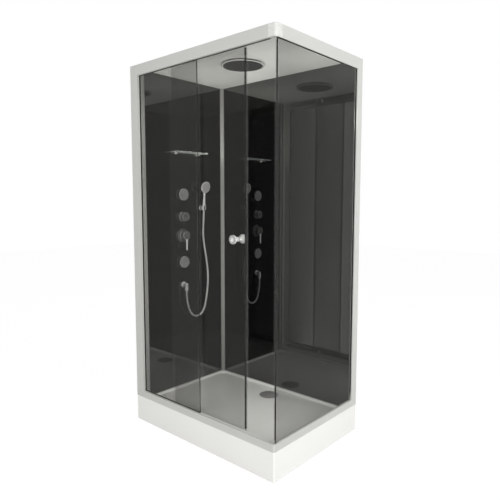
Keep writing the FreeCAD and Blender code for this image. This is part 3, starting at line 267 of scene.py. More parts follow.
# ------------------------------------------------------------------ finishes
class Finish:
    """A node material with the handful of detail layers that the cabin's surfaces need."""

    def __init__(self, name, colour, roughness, metallic=0.0, ior=1.5):
        self.material = bpy.data.materials.new(name)
        self.material.use_nodes = True
        self.tree = self.material.node_tree
        self.nodes = self.tree.nodes
        self.links = self.tree.links
        self.shader = self.nodes["Principled BSDF"]
        self.set("Base Color", (*colour, 1.0))
        self.set("Roughness", roughness)
        self.set("Metallic", metallic)
        self.set("IOR", ior)
        self.colour = colour
        self.roughness = roughness
        coordinates = self.nodes.new("ShaderNodeTexCoord")
        self.place = coordinates.outputs["Object"]
        self.normal = coordinates.outputs["Normal"]

    def set(self, socket, value):
        self.shader.inputs[socket].default_value = value

    def stretched(self, scale):
        """Object coordinates, scaled per axis in cycles a metre."""
        mapping = self.nodes.new("ShaderNodeMapping")
        mapping.inputs["Scale"].default_value = scale
        self.links.new(self.place, mapping.inputs["Vector"])
        return mapping.outputs["Vector"]

    def noise(self, scale, detail=3.0):
        """Clouds with a scale for each axis."""
        texture = self.nodes.new("ShaderNodeTexNoise")
        texture.inputs["Scale"].default_value = 1.0
        texture.inputs["Detail"].default_value = detail
        self.links.new(self.stretched(scale), texture.inputs["Vector"])
        return texture.outputs["Fac"]

    def grain(self, scale, detail=3.0):
        """Clouds with the same scale every way."""
        return self.noise((scale, scale, scale), detail)

    def spangle(self, scale):
        """Flat crystals, as zinc has them."""
        texture = self.nodes.new("ShaderNodeTexVoronoi")
        texture.inputs["Scale"].default_value = 1.0
        self.links.new(self.stretched((scale, scale, scale)), texture.inputs["Vector"])
        return texture.outputs["Color"]

    def past(self, axis, start, end, vector=None):
        """Nought before start on an axis, one past end."""
        split = self.nodes.new("ShaderNodeSeparateXYZ")
        self.links.new(vector or self.place, split.inputs["Vector"])
        return ramp(self.tree, split.outputs[axis], start, end)

    def blend_colours(self, factor, one, other):
        blend = self.nodes.new("ShaderNodeMix")
        blend.data_type = "RGBA"
        blend.inputs["A"].default_value = (*one, 1.0)
        blend.inputs["B"].default_value = (*other, 1.0)
        self.links.new(factor, blend.inputs["Factor"])
        self.links.new(blend.outputs["Result"], self.shader.inputs["Base Color"])

    def vary_roughness(self, factor, amount):
        low, high = self.roughness * (1 - amount), self.roughness * (1 + amount)
        varied = ramp(self.tree, factor, low=low, high=high)
        self.links.new(varied, self.shader.inputs["Roughness"])
        return self

    def vary_colour(self, factor, amount):
        darker = [c * (1 - amount) for c in self.colour]
        lighter = [min(1.0, c * (1 + amount)) for c in self.colour]
        self.blend_colours(factor, darker, lighter)
        return self

    def turn_into(self, factor, colour, metallic=None, roughness=None):
        """Another colour, and another metallic share and roughness, where the factor is one."""
        self.blend_colours(factor, self.colour, colour)
        for socket, value in (("Metallic", metallic), ("Roughness", roughness)):
            if value is not None:
                own = self.shader.inputs[socket].default_value
                turned = ramp(self.tree, factor, low=own, high=value)
                self.links.new(turned, self.shader.inputs[socket])
        return self

    def bump(self, factor, distance, strength):
        relief = self.nodes.new("ShaderNodeBump")
        relief.inputs["Strength"].default_value = strength
        relief.inputs["Distance"].default_value = distance
        self.links.new(factor, relief.inputs["Height"])
        self.links.new(relief.outputs["Normal"], self.shader.inputs["Normal"])
        return self


def tray_acrylic():
    finish = Finish("tray_acrylic", (0.81, 0.808, 0.785), roughness=0.16)
    finish.set("Coat Weight", 0.3)
    finish.set("Coat Roughness", 0.05)
    finish.vary_roughness(finish.grain(9), amount=0.25)
    finish.vary_colour(finish.grain(1.7, detail=2.0), amount=0.012)
    return finish.bump(finish.grain(70, detail=1.0), distance=0.0002, strength=0.25).material


def lacquered_profile(name, along):
    """Satin lacquer on extruded aluminium: faint lines run the way the profile was drawn."""
    finish = Finish(name, tuple(bpy.context.scene.cabin_metal.profile), roughness=0.36)
    fine, coarse = 900.0, 0.8
    scale = tuple(coarse if axis == along else fine for axis in "xyz")
    lines = finish.noise(scale, detail=2.0)
    finish.vary_roughness(lines, amount=0.2)
    finish.vary_colour(finish.grain(3, detail=2.0), amount=0.015)
    return finish.bump(lines, distance=0.00005, strength=0.35).material


def corner_plastic():
    finish = Finish("corner_plastic", (0.63, 0.63, 0.607), roughness=0.28)
    finish.vary_roughness(finish.grain(40), amount=0.2)
    return finish.bump(finish.grain(600, detail=2.0), distance=0.00004, strength=0.4).material


def black_glass():
    finish = Finish("black_glass", tuple(bpy.context.scene.cabin_glass.wall), roughness=0.015, ior=2.13)
    finish.vary_roughness(finish.grain(5), amount=0.5)
    return finish.bump(finish.grain(3, detail=1.0), distance=0.0006, strength=0.02).material


def smoked_glass():
    glass = bpy.context.scene.cabin_glass
    finish = Finish("smoked_glass", tuple(glass.tint), roughness=0.012, ior=2.6)
    finish.set("Alpha", glass.density)
    finish.vary_roughness(finish.grain(4), amount=0.5)
    return finish.material


def shelf_glass():
    finish = Finish("shelf_glass", (0.62, 0.66, 0.64), roughness=0.08)
    finish.set("Alpha", 0.2)
    return finish.vary_roughness(finish.grain(30), amount=0.3).material


def roof_sheet():
    finish = Finish("roof_sheet", (0.73, 0.732, 0.712), roughness=0.42)
    finish.vary_colour(finish.grain(2, detail=2.0), amount=0.01)
    return finish.bump(finish.grain(260, detail=2.0), distance=0.00005, strength=0.4).material


def trim_strip():
    """Satin strips on the left wall and in the corner. The one at the back wall's end shines."""
    finish = Finish("trim_strip", (0.35, 0.35, 0.34), roughness=0.45, metallic=0.15)
    before_end, at_end = 0.2, 0.4
    at_back_wall_end = finish.past("X", before_end, at_end)
    finish.turn_into(at_back_wall_end, (0.13, 0.13, 0.13), metallic=1.0, roughness=0.015)
    lines = finish.noise((900, 900, 0.8), detail=2.0)
    return finish.bump(lines, distance=0.00005, strength=0.4).material


def fine_metal_grain(finish):
    """The material of a metal finish, with faint clouds and a fine grain put on it."""
    finish.vary_roughness(finish.grain(45, detail=4.0), amount=0.3)
    return finish.bump(finish.grain(1500, detail=2.0), distance=0.00001, strength=0.3).material


def chrome(name, roughness, shade, metallic, face=None, painted_shade_from=None):
    """
    Chromed fitting whose colour carries painted light: a barely metallic grey, scaled lighter or darker,
    stands in for the bright bathroom that the metal reflects.

    The faces that look into the dark cabin take a darker grey, the one given as face, as painted shade,
    above a given height if one is given.
    """
    lightest = 0.95
    # Painted light: the shade scales the chrome colour lighter or darker for each fitting.
    colour = tuple(min(lightest, c * shade) for c in bpy.context.scene.cabin_metal.chrome)
    finish = Finish(name, colour, roughness, metallic)
    if face is not None:
        slanting, facing = 0.55, 0.8
        # Painted shade on the faces turned towards the dark cabin.
        painted_shade_mask = finish.past("X", slanting, facing, finish.normal)
        if painted_shade_from is not None:
            fade = 2 * MM
            high_enough = finish.past("Z", painted_shade_from, painted_shade_from + fade)
            painted_shade_mask = joined(finish.tree, "MULTIPLY", painted_shade_mask, high_enough)
        finish.turn_into(painted_shade_mask, (face, face, face))
    return fine_metal_grain(finish)


def knob_metal():
    """Chromed knob in a pale, barely metallic grey, a painted reflection of the bright room; its front
    face is polished like a mirror.
    """
    finish = Finish("knob_metal", (0.92, 0.92, 0.91), roughness=0.3, metallic=0.2)
    front = corners("door_knob_outer")[0].y
    near_front = finish.past("Y", front + 3 * MM, front + 1 * MM)
    finish.turn_into(near_front, (0.8, 0.8, 0.8), metallic=0.8)
    return fine_metal_grain(finish)


def drain_metal():
    finish = Finish("drain_metal", (0.27, 0.27, 0.265), roughness=0.45, metallic=0.2)
    finish.vary_roughness(finish.grain(120), amount=0.2)
    return finish.bump(finish.grain(900, detail=2.0), distance=0.00003, strength=0.4).material


def nozzle_plate():
    finish = Finish("nozzle_plate", (0.17, 0.17, 0.17), roughness=0.4, metallic=0.6)
    finish.vary_roughness(finish.grain(60), amount=0.2)
    return finish.bump(finish.grain(900, detail=2.0), distance=0.00003, strength=0.4).material


def rubber():
    """Black, but for the pale strips that close the sills right of the fixed pane: the seal's own pale
    colour, made lighter still as painted light against the shadow that falls there.
    """
    finish = Finish("rubber", (0.015, 0.015, 0.015), roughness=0.62)
    pane_end = corners("fixed_front_glass")[1].x
    right_of_pane = finish.past("X", pane_end + 1 * MM, pane_end + 3 * MM)
    over_sill, sill = 0.25, 0.20
    in_sill = finish.past("Z", over_sill, sill)
    pale_seal_and_painted_light = joined(finish.tree, "MULTIPLY", right_of_pane, in_sill)
    # Pale seal colour, lightened further as painted light where the sill lies in shadow.
    finish.turn_into(pale_seal_and_painted_light, (0.62, 0.62, 0.60))
    finish.vary_roughness(finish.grain(200), amount=0.15)
    return finish.bump(finish.grain(1800, detail=2.0), distance=0.00006, strength=0.5).material


def clear_strip():
    finish = Finish("clear_strip", (0.78, 0.79, 0.77), roughness=0.22)
    finish.set("Alpha", 0.012)
    return finish.bump(finish.noise((500, 500, 2), detail=2.0), distance=0.00005, strength=0.4).material


def white_nylon():
    finish = Finish("white_nylon", (0.78, 0.78, 0.75), roughness=0.45)
    finish.set("Subsurface Weight", 0.15)
    finish.set("Subsurface Radius", (0.003, 0.003, 0.003))
    return finish.bump(finish.grain(900, detail=2.0), distance=0.00004, strength=0.5).material


def cast_brass():
    finish = Finish("cast_brass", (0.66, 0.50, 0.24), roughness=0.38, metallic=1.0)
    grain = finish.grain(420, detail=4.0)
    finish.vary_roughness(grain, amount=0.3)
    finish.vary_colour(finish.grain(40), amount=0.12)
    return finish.bump(grain, distance=0.0002, strength=0.5).material


def drawn_pipe():
    finish = Finish("drawn_pipe", (0.56, 0.56, 0.55), roughness=0.3, metallic=1.0)
    finish.vary_roughness(finish.noise((260, 260, 12), detail=3.0), amount=0.25)
    return finish.bump(finish.noise((700, 700, 8), detail=2.0), distance=0.00004, strength=0.4).material


def galvanised():
    finish = Finish("galvanised", (0.50, 0.52, 0.53), roughness=0.45, metallic=0.9)
    finish.vary_colour(finish.spangle(70.0), amount=0.16)
    return finish.vary_roughness(finish.grain(90), amount=0.3).material


def waste_plastic():
    finish = Finish("waste_plastic", (0.74, 0.74, 0.71), roughness=0.5)
    return finish.bump(finish.grain(700, detail=2.0), distance=0.00006, strength=0.5).material


def magnet_strip():
    finish = Finish("magnet_strip", (0.30, 0.30, 0.29), roughness=0.5)
    finish.set("Alpha", 0.02)
    return finish.bump(finish.noise((600, 600, 40), detail=2.0), distance=0.00005, strength=0.4).material


def glass_edge(name, alpha):
    """Ground edge of a smoked pane, where the tint is seen through the whole width of the glass."""
    finish = Finish(name, (0.014, 0.015, 0.013), roughness=0.2)
    finish.set("Alpha", alpha)
    return finish.bump(finish.noise((900, 900, 30), detail=2.0), distance=0.00003, strength=0.3).material


FINISHED_NODES = {
    "tray_acrylic": ("shower_tray",),
    "profile_x": ("bottom_rail_front", "top_rail_front", "top_rail_back", "corner_cap_bottom"),
    "profile_y": ("bottom_rail_side", "top_rail_side", "top_rail_left"),
    "profile_z": ("post_front_left", "post_rear_right", "post_rear_left"),
    "corner_plastic": ("corner_cap_top",),
    "trim_strip": ("corner_trim", "wall_trims"),
    "black_glass": ("left_wall_panel", "back_wall_panel"),
    "smoked_glass": ("fixed_front_glass", "side_glass", "door_glass"),
    "shelf_glass": ("shelf_plate",),
    "roof_sheet": ("roof_panel",),
    "rubber": ("glass_gaskets",),
    "clear_strip": ("side_magnet_seal", "fixed_glass_seal", "door_magnet_seal", "door_trailing_seal"),
    "white_nylon": ("top_wheel_left", "top_wheel_right", "guide_blocks", "pipe_clips"),
    "polished_chrome": (
        "roller_mounts",
        "jet_bases",
        "diverter_rosette",
        "mixer_rosette",
        "mixer_spindle",
        "hand_shower_holder",
        "hose_nut_upper",
        "shelf_brackets",
        "rain_head_body",
    ),
    "knob_metal": ("door_knob_outer", "door_knob_inner"),
    "handle_chrome": ("diverter_knob", "mixer_lever"),
    "bright_chrome": ("hand_shower", "hose_outlet", "hose_nut_lower"),
    "satin_chrome": ("upper_jet_head", "lower_jet_head", "hand_shower_face"),
    "drain_metal": ("drain_cover", "drain_flange"),
    "nozzle_plate": ("rain_head_face",),
    "cast_brass": ("diverter_body", "mixer_body", "rain_head_elbow"),
    "drawn_pipe": ("feed_pipes",),
    "galvanised": ("tray_frame", "levelling_feet"),
    "waste_plastic": ("drain_trap",),
}


def make_finishes():
    """Every material, by its name."""
    makers = (
        tray_acrylic,
        corner_plastic,
        trim_strip,
        black_glass,
        smoked_glass,
        shelf_glass,
        roof_sheet,
        rubber,
        clear_strip,
        white_nylon,
        knob_metal,
        drain_metal,
        nozzle_plate,
        cast_brass,
        drawn_pipe,
        galvanised,
        waste_plastic,
        magnet_strip,
    )
    polish = bpy.context.scene.cabin_metal.chrome_roughness
    caps = middle("mixer_spindle").z - 24 * MM
    # Lit and shaded copies of one chrome: shade is painted light on its colour, face the painted shade
    # of the faces turned into the cabin.
    chromes = {
        "polished_chrome": dict(roughness=polish, shade=1.2, metallic=0.4, face=0.15),
        "handle_chrome": dict(roughness=0.3, shade=1.2, metallic=0.25, face=0.15, painted_shade_from=caps),
        "bright_chrome": dict(roughness=0.26, shade=1.15, metallic=0.45),
        "satin_chrome": dict(roughness=0.45, shade=1.0, metallic=0.25, face=0.32),
        "hose_chrome": dict(roughness=0.3, shade=0.62, metallic=0.3),
    }

    finishes = {make.__name__: make() for make in makers}
    for axis in "xyz":
        finishes[f"profile_{axis}"] = lacquered_profile(f"profile_{axis}", axis)
    for name, alpha in (("glass_edge", 0.85), ("faint_edge", 0.25)):
        finishes[name] = glass_edge(name, alpha)
    for name, settings in chromes.items():
        finishes[name] = chrome(name, **settings)
    return finishes


class SHOWER_OT_finishes(bpy.types.Operator):
    """Give every part of the frame its finish"""

    bl_idname = "shower.finishes"
    bl_label = "Apply Finishes"

    def execute(self, context):
        finishes = make_finishes()
        for finish, nodes in FINISHED_NODES.items():
            for node in nodes:
                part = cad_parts[node]
                for slot in part.material_slots:
                    slot.material = finishes[finish]
        dressed = {node for nodes in FINISHED_NODES.values() for node in nodes}
        left = set(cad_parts) - dressed - {"shower_hose"}
        if left:
            raise RuntimeError(f"no finish for {sorted(left)}")
        return {"FINISHED"}


# ------------------------------------------------------------------ mesh helpers
def finish_mesh(name, bm, material, body, sharp=math.radians(35)):
    """A smooth-shaded piece from a bmesh. It rides on a body, if one is given."""
    mesh = bpy.data.meshes.new(name)
    bm.to_mesh(mesh)
    bm.free()
    mesh.shade_smooth()
    mesh.set_sharp_from_angle(angle=sharp)
    mesh.materials.append(bpy.data.materials[material])
    piece = bpy.data.objects.new(name, mesh)
    bpy.context.scene.collection.objects.link(piece)
    if body is not None:
        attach(piece, body)
    return piece


def upright_strip(name, low, high, rounding, material, body):
    """A strip that stands on end between two corners of its box, its edges rounded."""
    low, high = Vector(low), Vector(high)
    place = Matrix.Translation((low + high) / 2) @ Matrix.Diagonal((*(high - low), 1.0))
    bm = bmesh.new()
    bmesh.ops.create_cube(bm, size=1.0, matrix=place)
    bmesh.ops.bevel(
        bm, geom=bm.edges, offset=rounding, segments=3, profile=0.5, affect="EDGES", material=-1
    )
    finish_mesh(name, bm, material, body)


class SHOWER_OT_magnet_strips(bpy.types.Operator):
    """Magnet strips in the clear profiles that close the doorway"""

    bl_idname = "shower.magnet_strips"
    bl_label = "Magnet Strips"

    def magnet(self, name, seal, start, thickness, half_width, body):
        """One magnet inside a clear profile, in line with the door glass."""
        end_gap, rounding = 3 * MM, 0.4 * MM
        low, high = corners(seal)
        door_line = middle("door_glass").y
        upright_strip(
            name,
            (start, door_line - half_width, low.z + end_gap),
            (start + thickness, door_line + half_width, high.z - end_gap),
            rounding,
            "magnet_strip",
            body,
        )

    def execute(self, context):
        self.magnet(
            "door_magnet",
            "door_magnet_seal",
            start=corners("door_magnet_seal")[1].x - 4.6 * MM,
            thickness=3.2 * MM,
            half_width=3.6 * MM,
            body="door",
        )
        self.magnet(
            "side_magnet",
            "side_magnet_seal",
            start=corners("side_magnet_seal")[0].x + 1.7 * MM,
            thickness=4.6 * MM,
            half_width=5.3 * MM,
            body="cabin",
        )
        return {"FINISHED"}


class SHOWER_OT_glass_edges(bpy.types.Operator):
    """Ground edges of the panes where they end in the open"""

    bl_idname = "shower.glass_edges"
    bl_label = "Glass Edges"

    def edge(self, name, low, high, material, body):
        """One edge, from just over the sill to just under the header."""
        over_sill, under_header, rounding = 2 * MM, 1 * MM, 1.2 * MM
        upright_strip(
            name,
            (*low, SILL_HIGH + over_sill),
            (*high, HEADER_LOW - under_header),
            rounding,
            material,
            body,
        )

    def execute(self, context):
        depth, skin = 4.5 * MM, 0.15 * MM
        low, high = corners("side_glass")
        self.edge(
            "side_pane_edge",
            (low.x - skin, low.y - skin),
            (high.x + skin, low.y + depth),
            "glass_edge",
            "cabin",
        )
        low, high = corners("fixed_front_glass")
        self.edge(
            "fixed_pane_edge",
            (high.x - depth, low.y - skin),
            (high.x + skin, high.y + skin),
            "faint_edge",
            "cabin",
        )
        arm, wall = 9 * MM, 2 * MM + skin
        low, high = corners("door_glass")
        self.edge(
            "door_seal_line",
            (high.x - arm - skin, low.y - wall),
            (high.x - arm + depth, high.y + wall),
            "glass_edge",
            "door",
        )
        return {"FINISHED"}


# ------------------------------------------------------------------ shower hose
# The hose leaves the handset on its axis, hangs in a free loop and comes up into the wall outlet.
HOSE_TOP = Vector((-487.4768, 151.5, 1301.0299)) * MM
HOSE_END = Vector((-486.5, -11.5, 765.0)) * MM
HANDSET_LEAN = math.radians(3.5)
HANDSET_AXIS = Vector((math.sin(HANDSET_LEAN), 0.0, math.cos(HANDSET_LEAN)))
HOSE_ROUTE = [HOSE_TOP, HOSE_TOP - HANDSET_AXIS * 80 * MM]
HOSE_ROUTE += [
    Vector(point) * MM
    for point in (
        (-489.5, 142.5, 1134.0),
        (-482.5, 152.5, 1036.0),
        (-479.5, 170.5, 938.0),
        (-478.5, 178.5, 840.0),
        (-478.5, 168.5, 745.0),
        (-478.5, 150.5, 660.0),
        (-478.5, 133.5, 615.0),
        (-479.5, 99.5, 588.0),
        (-480.5, 57.5, 586.0),
        (-482.5, 22.5, 610.0),
        (-484.5, 3.5, 652.0),
    )
]
HOSE_ROUTE += [HOSE_END - UP * 52 * MM, HOSE_END]


def smooth_route(points, steps):
    """Points along the NURBS spline that has the route's points as its control points."""
    curve = bpy.data.curves.new("hose_route", "CURVE")
    curve.dimensions = "3D"
    curve.resolution_u = steps
    spline = curve.splines.new("NURBS")
    spline.points.add(len(points) - 1)
    for control, point in zip(spline.points, points):
        control.co = (*point, 1.0)
    spline.order_u = 3
    spline.use_endpoint_u = True
    holder = bpy.data.objects.new("hose_route", curve)
    bpy.context.scene.collection.objects.link(holder)
    bpy.context.view_layer.update()
    line = bpy.data.meshes.new_from_object(holder.evaluated_get(bpy.context.evaluated_depsgraph_get()))
    path = [vertex.co.copy() for vertex in line.vertices]
    bpy.data.meshes.remove(line)
    bpy.data.objects.remove(holder)
    bpy.data.curves.remove(curve)
    return path


def evenly_spaced(path, gap):
    """The same line cut into equal steps of about the given length, as points."""
    lengths = [0.0]
    for a, b in zip(path, path[1:]):
        lengths.append(lengths[-1] + (b - a).length)
    count = max(2, round(lengths[-1] / gap))
    result = []
    i = 0
    for k in range(count + 1):
        at = lengths[-1] * k / count
        while i < len(path) - 2 and lengths[i + 1] < at:
            i += 1
        span = lengths[i + 1] - lengths[i]
        result.append(path[i].lerp(path[i + 1], (at - lengths[i]) / span))
    return result


def wound_tube(path, radius_at, sides):
    """A tube drawn out ring by ring along a path, each ring square to it."""
    bm = bmesh.new()
    turn = (path[1] - path[0]).normalized().to_track_quat("Z", "Y")
    place = Matrix.Translation(path[0]) @ turn.to_matrix().to_4x4()
    bmesh.ops.create_circle(bm, cap_ends=False, segments=sides, radius=radius_at(0), matrix=place)
    edges = list(bm.edges)
    first_edges = edges
    heading = (path[1] - path[0]).normalized()
    for k in range(1, len(path)):
        ahead = path[min(k + 1, len(path) - 1)] - path[k - 1]
        ahead.normalize()
        grown = bmesh.ops.extrude_edge_only(bm, edges=edges)["geom"]
        verts = [item for item in grown if isinstance(item, bmesh.types.BMVert)]
        edges = [item for item in grown if isinstance(item, bmesh.types.BMEdge)]
        bend = heading.rotation_difference(ahead).to_matrix().to_4x4()
        size = radius_at(k) / radius_at(k - 1)
        to_origin = Matrix.Translation(-path[k - 1])
        step = Matrix.Translation(path[k]) @ bend @ Matrix.Scale(size, 4) @ to_origin
        bmesh.ops.transform(bm, matrix=step, verts=verts)
        heading = ahead
    bmesh.ops.holes_fill(bm, edges=first_edges + edges, sides=sides)
    bmesh.ops.recalc_face_normals(bm, faces=bm.faces)
    return bm


class SHOWER_OT_shower_hose(bpy.types.Operator):
    """The wound metal hose from the hand shower down to the wall outlet"""

    bl_idname = "shower.shower_hose"
    bl_label = "Shower Hose"

    def execute(self, context):
        hose = context.scene.cabin_hose
        relief = (1.0, 0.985, 0.90, 0.985)
        gap = 1.0 / (hose.turns_per_metre * len(relief))
        path = evenly_spaced(smooth_route(HOSE_ROUTE, steps=24), gap)

        def radius_at(k):
            return hose.diameter / 2 * relief[k % len(relief)]

        bm = wound_tube(path, radius_at, hose.sides)
        piece = finish_mesh(
            "hose_winding", bm, "hose_chrome", None, sharp=math.radians(60)
        )
        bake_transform(piece)
        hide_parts("shower_hose")
        return {"FINISHED"}


# ------------------------------------------------------------------ studio
WHITE = (1.0, 1.0, 1.0)
MIRRORED_WHITE = (1.0, 1.0, 0.97)
INSIDE_WHITE = (1.0, 1.0, 0.94)

# Bearings, in degrees, at which the bright opening of the mirrored room comes up and fades out,
# and the point over the back wall's foot from which the stage floor takes its bearings.
OPENING_COMES_UP = (-128, -120)
OPENING_FADES = (-112, -85)
BEARINGS_FROM = Vector((0.15, middle("back_wall_panel").y, 0.0))

FLOOR_HALF_WIDTH = 12.0
FLOOR_DROP = 0.5 * MM
FLOOR_PAINT = 0.80
SEEN_FLOOR_PAINT = 0.12
SEEN_FLOOR_GLOW = 0.93

# name, place, point it is aimed at, size; its power is the setting of the same name
ROOM_LIGHTS = (
    ("key", (4.6, 0.6, 2.4), (0.3, 0.0, 1.0), (2.6, 3.2)),
    ("fill", (1.2, -4.8, 2.2), (0.1, 0.0, 1.0), (3.2, 3.0)),
)
# name, place, way it faces, size, share of the inside light
INSIDE_LIGHTS = (
    ("front_window", (-0.15, -0.335, 1.15), (0, 1, 0), (0.65, 1.3), 0.10),
    ("side_window", (0.53, -0.10, 1.05), (-1, 0, 0), (0.45, 1.3), 0.34),
    ("toward_left", (-0.15, 0.05, 1.05), (-1, 0, 0), (0.4, 1.1), 0.14),
    ("upward_left", (-0.38, 0.05, 1.60), (0, 0, 1), (0.3, 0.4), 0.24),
    ("upward_right", (0.46, 0.22, 1.75), (0, 0, 1), (0.15, 0.25), 0.10),
    ("downward", (0.05, -0.14, 2.02), (0, 0, -1), (0.7, 0.3), 0.17),
)

CAMERA_PLACE = (1.9794, -2.1462, 1.3521)
SENSOR_WIDTH = 36.0
FARTHEST_SEEN = 60.0


def mirrored_room(tree, way, studio):
    """Strength of the room in mirrors, by bearing: bright in front of the cabin, dim elsewhere."""
    parts = tree.nodes.new("ShaderNodeSeparateXYZ")
    tree.links.new(way, parts.inputs["Vector"])
    bearing = joined(tree, "ARCTAN2", parts.outputs["Y"], parts.outputs["X"])
    dim, bright = studio.reflected_room, studio.reflected_front
    rise = ramp(tree, bearing, *map(math.radians, OPENING_COMES_UP), dim, bright)
    fall = ramp(tree, bearing, *map(math.radians, OPENING_FADES), bright, dim)
    return joined(tree, "MINIMUM", rise, fall)


def by_ray(tree, output, lit, mirrored, seen):
    """One shader as a light, one for mirrors, one for the camera, also through panes."""
    path = tree.nodes.new("ShaderNodeLightPath").outputs
    direct = joined(tree, "MAXIMUM", path["Is Camera Ray"], path["Is Transmission Ray"])
    shader = lit
    for factor, other in ((path["Is Glossy Ray"], mirrored), (direct, seen)):
        mix = tree.nodes.new("ShaderNodeMixShader")
        tree.links.new(factor, mix.inputs["Fac"])
        tree.links.new(shader.outputs[0], mix.inputs[1])
        tree.links.new(other.outputs[0], mix.inputs[2])
        shader = mix
    end = tree.nodes.new(output)
    tree.links.new(shader.outputs[0], end.inputs["Surface"])


def studio_world(studio):
    """White to the eye, an even grey light on the object, and a darker room in the reflections."""
    world = bpy.data.worlds.new("studio")
    bpy.context.scene.world = world
    world.use_nodes = True
    tree = world.node_tree
    tree.nodes.clear()
    light = shining(tree, "ShaderNodeBackground", WHITE, studio.room)
    seen = shining(tree, "ShaderNodeBackground", WHITE, 1.0)
    mirror = shining(tree, "ShaderNodeBackground", MIRRORED_WHITE, studio.reflected_room)
    way = tree.nodes.new("ShaderNodeTexCoord").outputs["Generated"]
    tree.links.new(mirrored_room(tree, way, studio), mirror.inputs["Strength"])
    by_ray(tree, "ShaderNodeOutputWorld", light, mirror, seen)


def floor_mirror(tree, studio):
    """
    The stage floor as mirrors show it: part of the same room.

    Its bright opening shows only to rays that have gone through more than the two faces of one pane,
    which are those from the inside of the cabin.
    """
    from_back_wall = tree.nodes.new("ShaderNodeMapping")
    from_back_wall.inputs["Location"].default_value = -BEARINGS_FROM
    place = tree.nodes.new("ShaderNodeTexCoord").outputs["Object"]
    tree.links.new(place, from_back_wall.inputs["Vector"])
    opening = mirrored_room(tree, from_back_wall.outputs["Vector"], studio)
    faces_passed = tree.nodes.new("ShaderNodeLightPath").outputs["Transparent Depth"]
    one_pane = 2.0
    from_inside = ramp(
        tree, faces_passed, one_pane, one_pane + 1.0, studio.reflected_room, studio.reflected_front
    )
    mirror = shining(tree, "ShaderNodeEmission", MIRRORED_WHITE, studio.reflected_room)
    tree.links.new(joined(tree, "MINIMUM", opening, from_inside), mirror.inputs["Strength"])
    return mirror


def floor_material(studio):
    """Pale floor that goes over into the white background and keeps a light shadow."""
    material = bpy.data.materials.new("studio_floor")
    material.use_nodes = True
    tree = material.node_tree
    tree.nodes.clear()
    glow = shining(tree, "ShaderNodeEmission", WHITE, SEEN_FLOOR_GLOW)
    seen = tree.nodes.new("ShaderNodeAddShader")
    tree.links.new(glow.outputs[0], seen.inputs[0])
    tree.links.new(matt(tree, SEEN_FLOOR_PAINT).outputs[0], seen.inputs[1])
    lit = matt(tree, FLOOR_PAINT)
    by_ray(tree, "ShaderNodeOutputMaterial", lit, floor_mirror(tree, studio), seen)
    material.cycles.emission_sampling = "NONE"
    return material


def stage_floor(studio):
    """The floor just under the feet, which is stage and not part of the cabin."""
    bm = bmesh.new()
    bmesh.ops.create_grid(bm, x_segments=1, y_segments=1, size=FLOOR_HALF_WIDTH)
    bmesh.ops.translate(bm, verts=bm.verts, vec=(0.0, 0.0, -FLOOR_DROP))
    mesh = bpy.data.meshes.new("floor")
    bm.to_mesh(mesh)
    bm.free()
    mesh.materials.append(floor_material(studio))
    ground = bpy.data.objects.new("floor", mesh)
    bpy.context.scene.collection.objects.link(ground)


def softbox(name, place, target, size, power, colour=WHITE):
    """Rectangular lamp that neither the camera nor a mirror sees."""
    lamp = bpy.data.lights.new(name, "AREA")
    lamp.color = colour
    lamp.shape = "RECTANGLE"
    lamp.size, lamp.size_y = size
    lamp.energy = power
    holder = bpy.data.objects.new(name, lamp)
    holder.location = place
    holder.rotation_euler = (Vector(target) - Vector(place)).to_track_quat("-Z", "Y").to_euler()
    holder.visible_camera = False
    holder.visible_glossy = False
    bpy.context.scene.collection.objects.link(holder)


def photograph_camera(studio):
    """The camera where the photograph's camera stood."""
    camera = bpy.data.cameras.new("photograph")
    camera.lens = studio.lens
    camera.sensor_width = SENSOR_WIDTH
    camera.clip_end = FARTHEST_SEEN
    holder = bpy.data.objects.new("photograph", camera)
    holder.location = CAMERA_PLACE
    holder.rotation_euler = (math.pi / 2 - studio.pitch, 0.0, studio.heading)
    bpy.context.scene.collection.objects.link(holder)
    bpy.context.scene.camera = holder


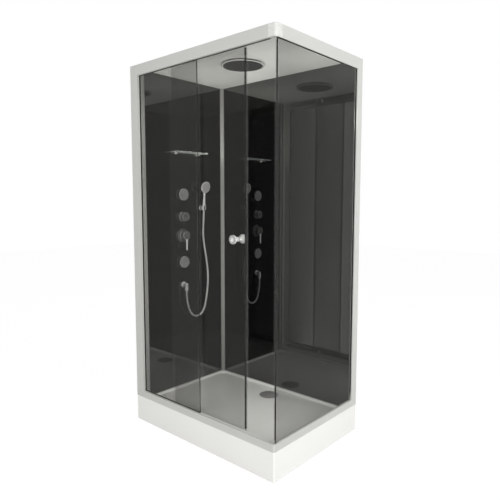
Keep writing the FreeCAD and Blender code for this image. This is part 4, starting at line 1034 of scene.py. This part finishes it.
class SHOWER_OT_studio(bpy.types.Operator):
    """Floor, lights, background and the camera of the photograph"""

    bl_idname = "shower.studio"
    bl_label = "Studio"

    def execute(self, context):
        studio = context.scene.cabin_studio
        context.scene.view_settings.view_transform = "Standard"
        studio_world(studio)
        stage_floor(studio)
        for name, place, target, size in ROOM_LIGHTS:
            softbox(name, place, target, size, getattr(studio, name))
        for name, place, way, size, share in INSIDE_LIGHTS:
            target = Vector(place) + Vector(way)
            softbox(name, place, target, size, studio.inside * share, INSIDE_WHITE)
        photograph_camera(studio)
        return {"FINISHED"}


# ------------------------------------------------------------------ panel and running order
class SHOWER_PT_cabin(bpy.types.Panel):
    """Settings and steps of the shower cabin"""

    bl_idname = "SHOWER_PT_cabin"
    bl_label = "Shower Cabin"
    bl_space_type = "VIEW_3D"
    bl_region_type = "UI"
    bl_category = "Shower Cabin"

    def draw(self, context):
        layout = self.layout
        for group in (
            context.scene.cabin_glass,
            context.scene.cabin_metal,
            context.scene.cabin_hose,
            context.scene.cabin_studio,
        ):
            box = layout.box()
            for name in group.__annotations__:
                box.prop(group, name)
        for operator in STEPS:
            layout.operator(operator.bl_idname)


STEPS = (
    SHOWER_OT_studio,
    SHOWER_OT_finishes,
    SHOWER_OT_shower_hose,
    SHOWER_OT_magnet_strips,
    SHOWER_OT_glass_edges,
)
GROUPS = {
    "cabin_glass": CabinGlass,
    "cabin_metal": CabinMetal,
    "cabin_hose": CabinHose,
    "cabin_studio": CabinStudio,
}


def register():
    for group in GROUPS.values():
        bpy.utils.register_class(group)
    for name, group in GROUPS.items():
        setattr(bpy.types.Scene, name, PointerProperty(type=group))
    for operator in STEPS:
        bpy.utils.register_class(operator)
    bpy.utils.register_class(SHOWER_PT_cabin)


def unregister():
    bpy.utils.unregister_class(SHOWER_PT_cabin)
    for operator in reversed(STEPS):
        bpy.utils.unregister_class(operator)
    for name in GROUPS:
        delattr(bpy.types.Scene, name)
    for group in reversed(list(GROUPS.values())):
        bpy.utils.unregister_class(group)


def main():
    register()
    for operator in STEPS:
        group, name = operator.bl_idname.split(".")
        getattr(getattr(bpy.ops, group), name)()


if __name__ == "__main__":
    main()
